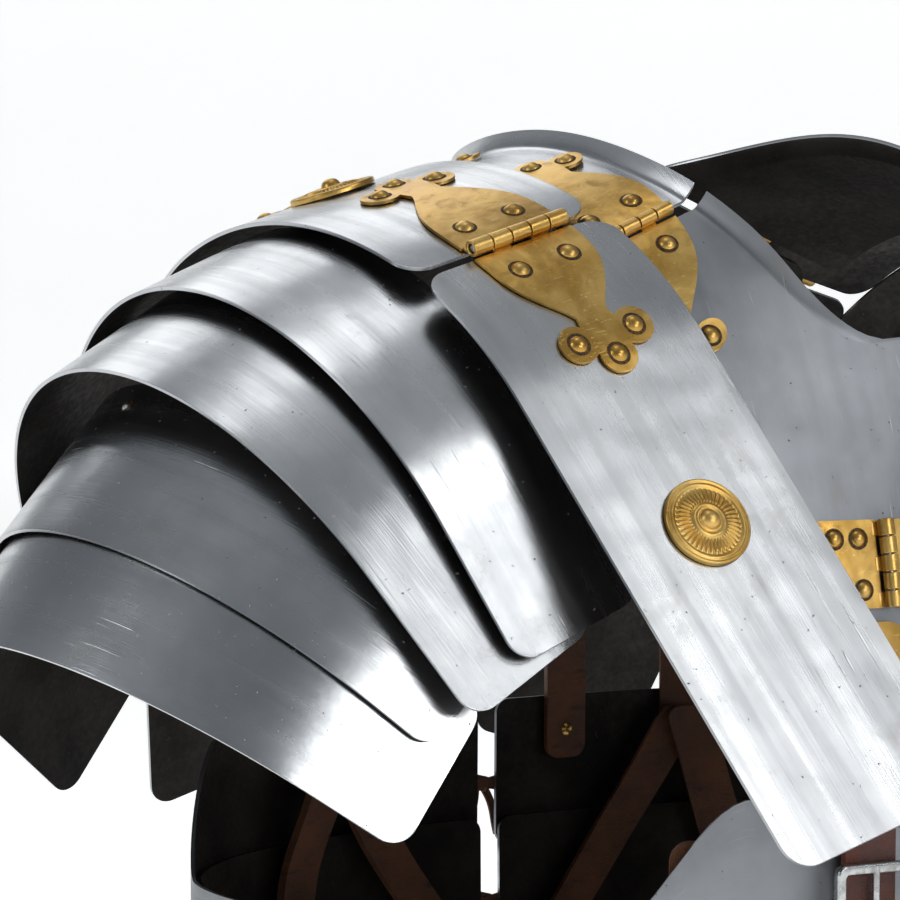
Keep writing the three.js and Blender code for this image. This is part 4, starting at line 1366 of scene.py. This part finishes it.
def ring_line(half_wide, half_tall, corner):
    line = []
    for quarter, (sx, sy) in enumerate(((1, 1), (-1, 1), (-1, -1), (1, -1))):
        for k in range(7):
            angle = math.radians(90 * quarter + 15 * k)
            line.append((
                sx * (half_wide - corner) + corner * math.cos(angle),
                sy * (half_tall - corner) + corner * math.sin(angle),
            ))
    return line


def build_buckle(side_name, side):
    wire = TIE_BUCKLE_WIRE
    bm = bmesh.new()
    outer = ring_line(TIE_BUCKLE_HALF, TIE_BUCKLE_TALL / 2, wire)
    hole = ring_line(TIE_BUCKLE_HALF - wire, TIE_BUCKLE_TALL / 2 - wire, 1.0)
    loops = []
    for line in (outer, hole):
        points = [bm.verts.new((x, y, 0)) for x, y in line]
        loops.append([bm.edges.new((one, other)) for one, other in zip(points, points[1:] + points[:1])])
    bmesh.ops.bridge_loops(bm, edges=loops[0] + loops[1])
    made = bmesh.ops.extrude_face_region(bm, geom=bm.faces[:], use_keep_orig=True)
    lifted = [item for item in made["geom"] if isinstance(item, bmesh.types.BMVert)]
    bmesh.ops.translate(bm, vec=(0, 0, wire), verts=lifted)
    bmesh.ops.recalc_face_normals(bm, faces=bm.faces[:])
    rims = [edge for edge in bm.edges if edge.calc_face_angle(0) > 1.0]
    bmesh.ops.bevel(
        bm, geom=rims, offset=1.0, segments=3, profile=0.5, affect="EDGES", material=-1, clamp_overlap=True
    )
    bmesh.ops.transform(bm, matrix=Matrix.Scale(MM, 4), verts=bm.verts[:])
    tongue = rounded_bar(TIE_BUCKLE_TALL - 1.2, 1.15, 0, 18)
    laid = Matrix.Translation((0, 0, (wire - 0.8) * MM)) @ Matrix.Rotation(math.radians(90), 4, "X")
    added(bm, tongue, laid, 0)
    centre = placed(chest_point(TIE_OUT, TIE_BUCKLE_UP, 2 * SEAT_GAP + LEATHER), side)
    beside = placed(chest_point(TIE_OUT + 1, TIE_BUCKLE_UP, 2 * SEAT_GAP + LEATHER), side)
    wide = (beside - centre).normalized() * side
    wide.z = 0
    wide.normalize()
    upward = Vector((0, 0, 1))
    facing = wide.cross(upward).normalized()
    axes = Matrix((wide, upward, facing)).transposed().to_4x4()
    bmesh.ops.transform(bm, matrix=Matrix.Translation(centre) @ axes, verts=bm.verts[:])
    name = f"tie_buckle_steel_{side_name}"
    finished(name, bm, "cuirass", [BUCKLE_LOOK], [f"tie_buckle_{side_name}"])


for side_name, side in SIDES.items():
    build_collar(side_name, side)
    build_guard(side_name, side)
    build_fittings(side_name, side)
    build_lame_rivet(side_name, side)
    build_shoulder_leather(side_name, side)
    for number in range(len(HOOP_WAIST)):
        build_hoop(number, side_name, side)
    build_girdle_straps(side_name, side)
    build_back_ties(side_name, side)
    build_tie(side_name, side)
    build_buckle(side_name, side)
build_chest_hinge(False)
build_chest_hinge(True)
build_laces()


# Floor and backdrop in one pale sweep, a soft studio light and the camera

def studio_material():
    material, tree, shader, place = new_material("pale_paper_sweep")
    body = place.outputs["Object"]
    tone = mixed(tree, noise(tree, body, 1.5, 2.0), colour("#f4f4f3"), colour("#f8f8f7"))
    feed(tree, shader, Base_Color=tone, Emission_Color=tone, Emission_Strength=0.61, Roughness=0.85)
    return material


def build_sweep():
    bm = bmesh.new()
    bmesh.ops.create_grid(bm, x_segments=2, y_segments=120, size=SWEEP_SIZE)
    for vert in bm.verts:
        past = vert.co.y - SWEEP_BEND_FROM
        if past > 0:
            angle = min(past / SWEEP_RADIUS, math.pi / 2)
            rest = past - angle * SWEEP_RADIUS
            vert.co.y = SWEEP_BEND_FROM + SWEEP_RADIUS * math.sin(angle)
            vert.co.z = SWEEP_RADIUS * (1 - math.cos(angle)) + 0.15 * rest
    turn = Matrix.Rotation(math.radians(SWEEP_TURN), 4, "Z")
    bmesh.ops.transform(bm, matrix=Matrix.Translation((0, 0, FLOOR_LEVEL)) @ turn, verts=bm.verts[:])
    mesh = bpy.data.meshes.new("studio_sweep")
    bm.to_mesh(mesh)
    bm.free()
    mesh.materials.append(studio_material())
    mesh.shade_smooth()
    sweep = bpy.data.objects.new("studio_sweep", mesh)
    bpy.context.scene.collection.objects.link(sweep)


def add_softbox(name, place, wide, tall, watts):
    light = bpy.data.lights.new(name, "AREA")
    light.shape = "RECTANGLE"
    light.size = wide
    light.size_y = tall
    light.energy = watts
    lamp = bpy.data.objects.new(name, light)
    lamp.location = place
    lamp.rotation_euler = (Vector(SOFTBOX_AIM) - Vector(place)).to_track_quat("-Z", "Y").to_euler()
    bpy.context.scene.collection.objects.link(lamp)


def build_air():
    """Soft room light that the plates mirror: pale by the horizon, darkest halfway up, paler overhead."""
    world = bpy.data.worlds.new("studio_air")
    bpy.context.scene.world = world
    world.use_nodes = True
    tree = world.node_tree
    direction = add_node(tree, "ShaderNodeTexCoord").outputs["Generated"]
    height = add_node(tree, "ShaderNodeSeparateXYZ", Vector=direction).outputs["Z"]
    ramp = add_node(tree, "ShaderNodeValToRGB", Fac=height)
    for place, _ in AIR_STOPS[1:-1]:
        ramp.color_ramp.elements.new(place)
    for element, (place, code) in zip(ramp.color_ramp.elements, AIR_STOPS):
        element.position = place
        element.color = colour(code)
    feed(tree, tree.nodes["Background"], Color=ramp.outputs["Color"], Strength=1.0)


def build_studio():
    build_sweep()
    build_air()
    bpy.context.scene.view_settings.view_transform = "Standard"
    for softbox in SOFTBOXES:
        add_softbox(*softbox)


def build_camera():
    azimuth = math.radians(CAMERA_AZIMUTH)
    elevation = math.radians(CAMERA_ELEVATION)
    roll = math.radians(CAMERA_ROLL)
    back = Vector((
        math.sin(azimuth) * math.cos(elevation),
        -math.cos(azimuth) * math.cos(elevation),
        math.sin(elevation),
    ))
    level = Vector((math.cos(azimuth), math.sin(azimuth), 0))
    upright = back.cross(level)
    right = level * math.cos(roll) + upright * math.sin(roll)
    up = upright * math.cos(roll) - level * math.sin(roll)
    axes = Matrix((right, up, back)).transposed().to_4x4()
    camera = bpy.data.objects.new("camera", bpy.data.cameras.new("camera"))
    camera.data.lens = CAMERA_LENS
    camera.data.sensor_width = CAMERA_SENSOR
    camera.data.clip_start = 0.05
    camera.matrix_world = Matrix.Translation(Vector(CAMERA_TARGET) + back * CAMERA_DISTANCE) @ axes
    bpy.context.scene.collection.objects.link(camera)
    bpy.context.scene.camera = camera


build_studio()
build_camera()
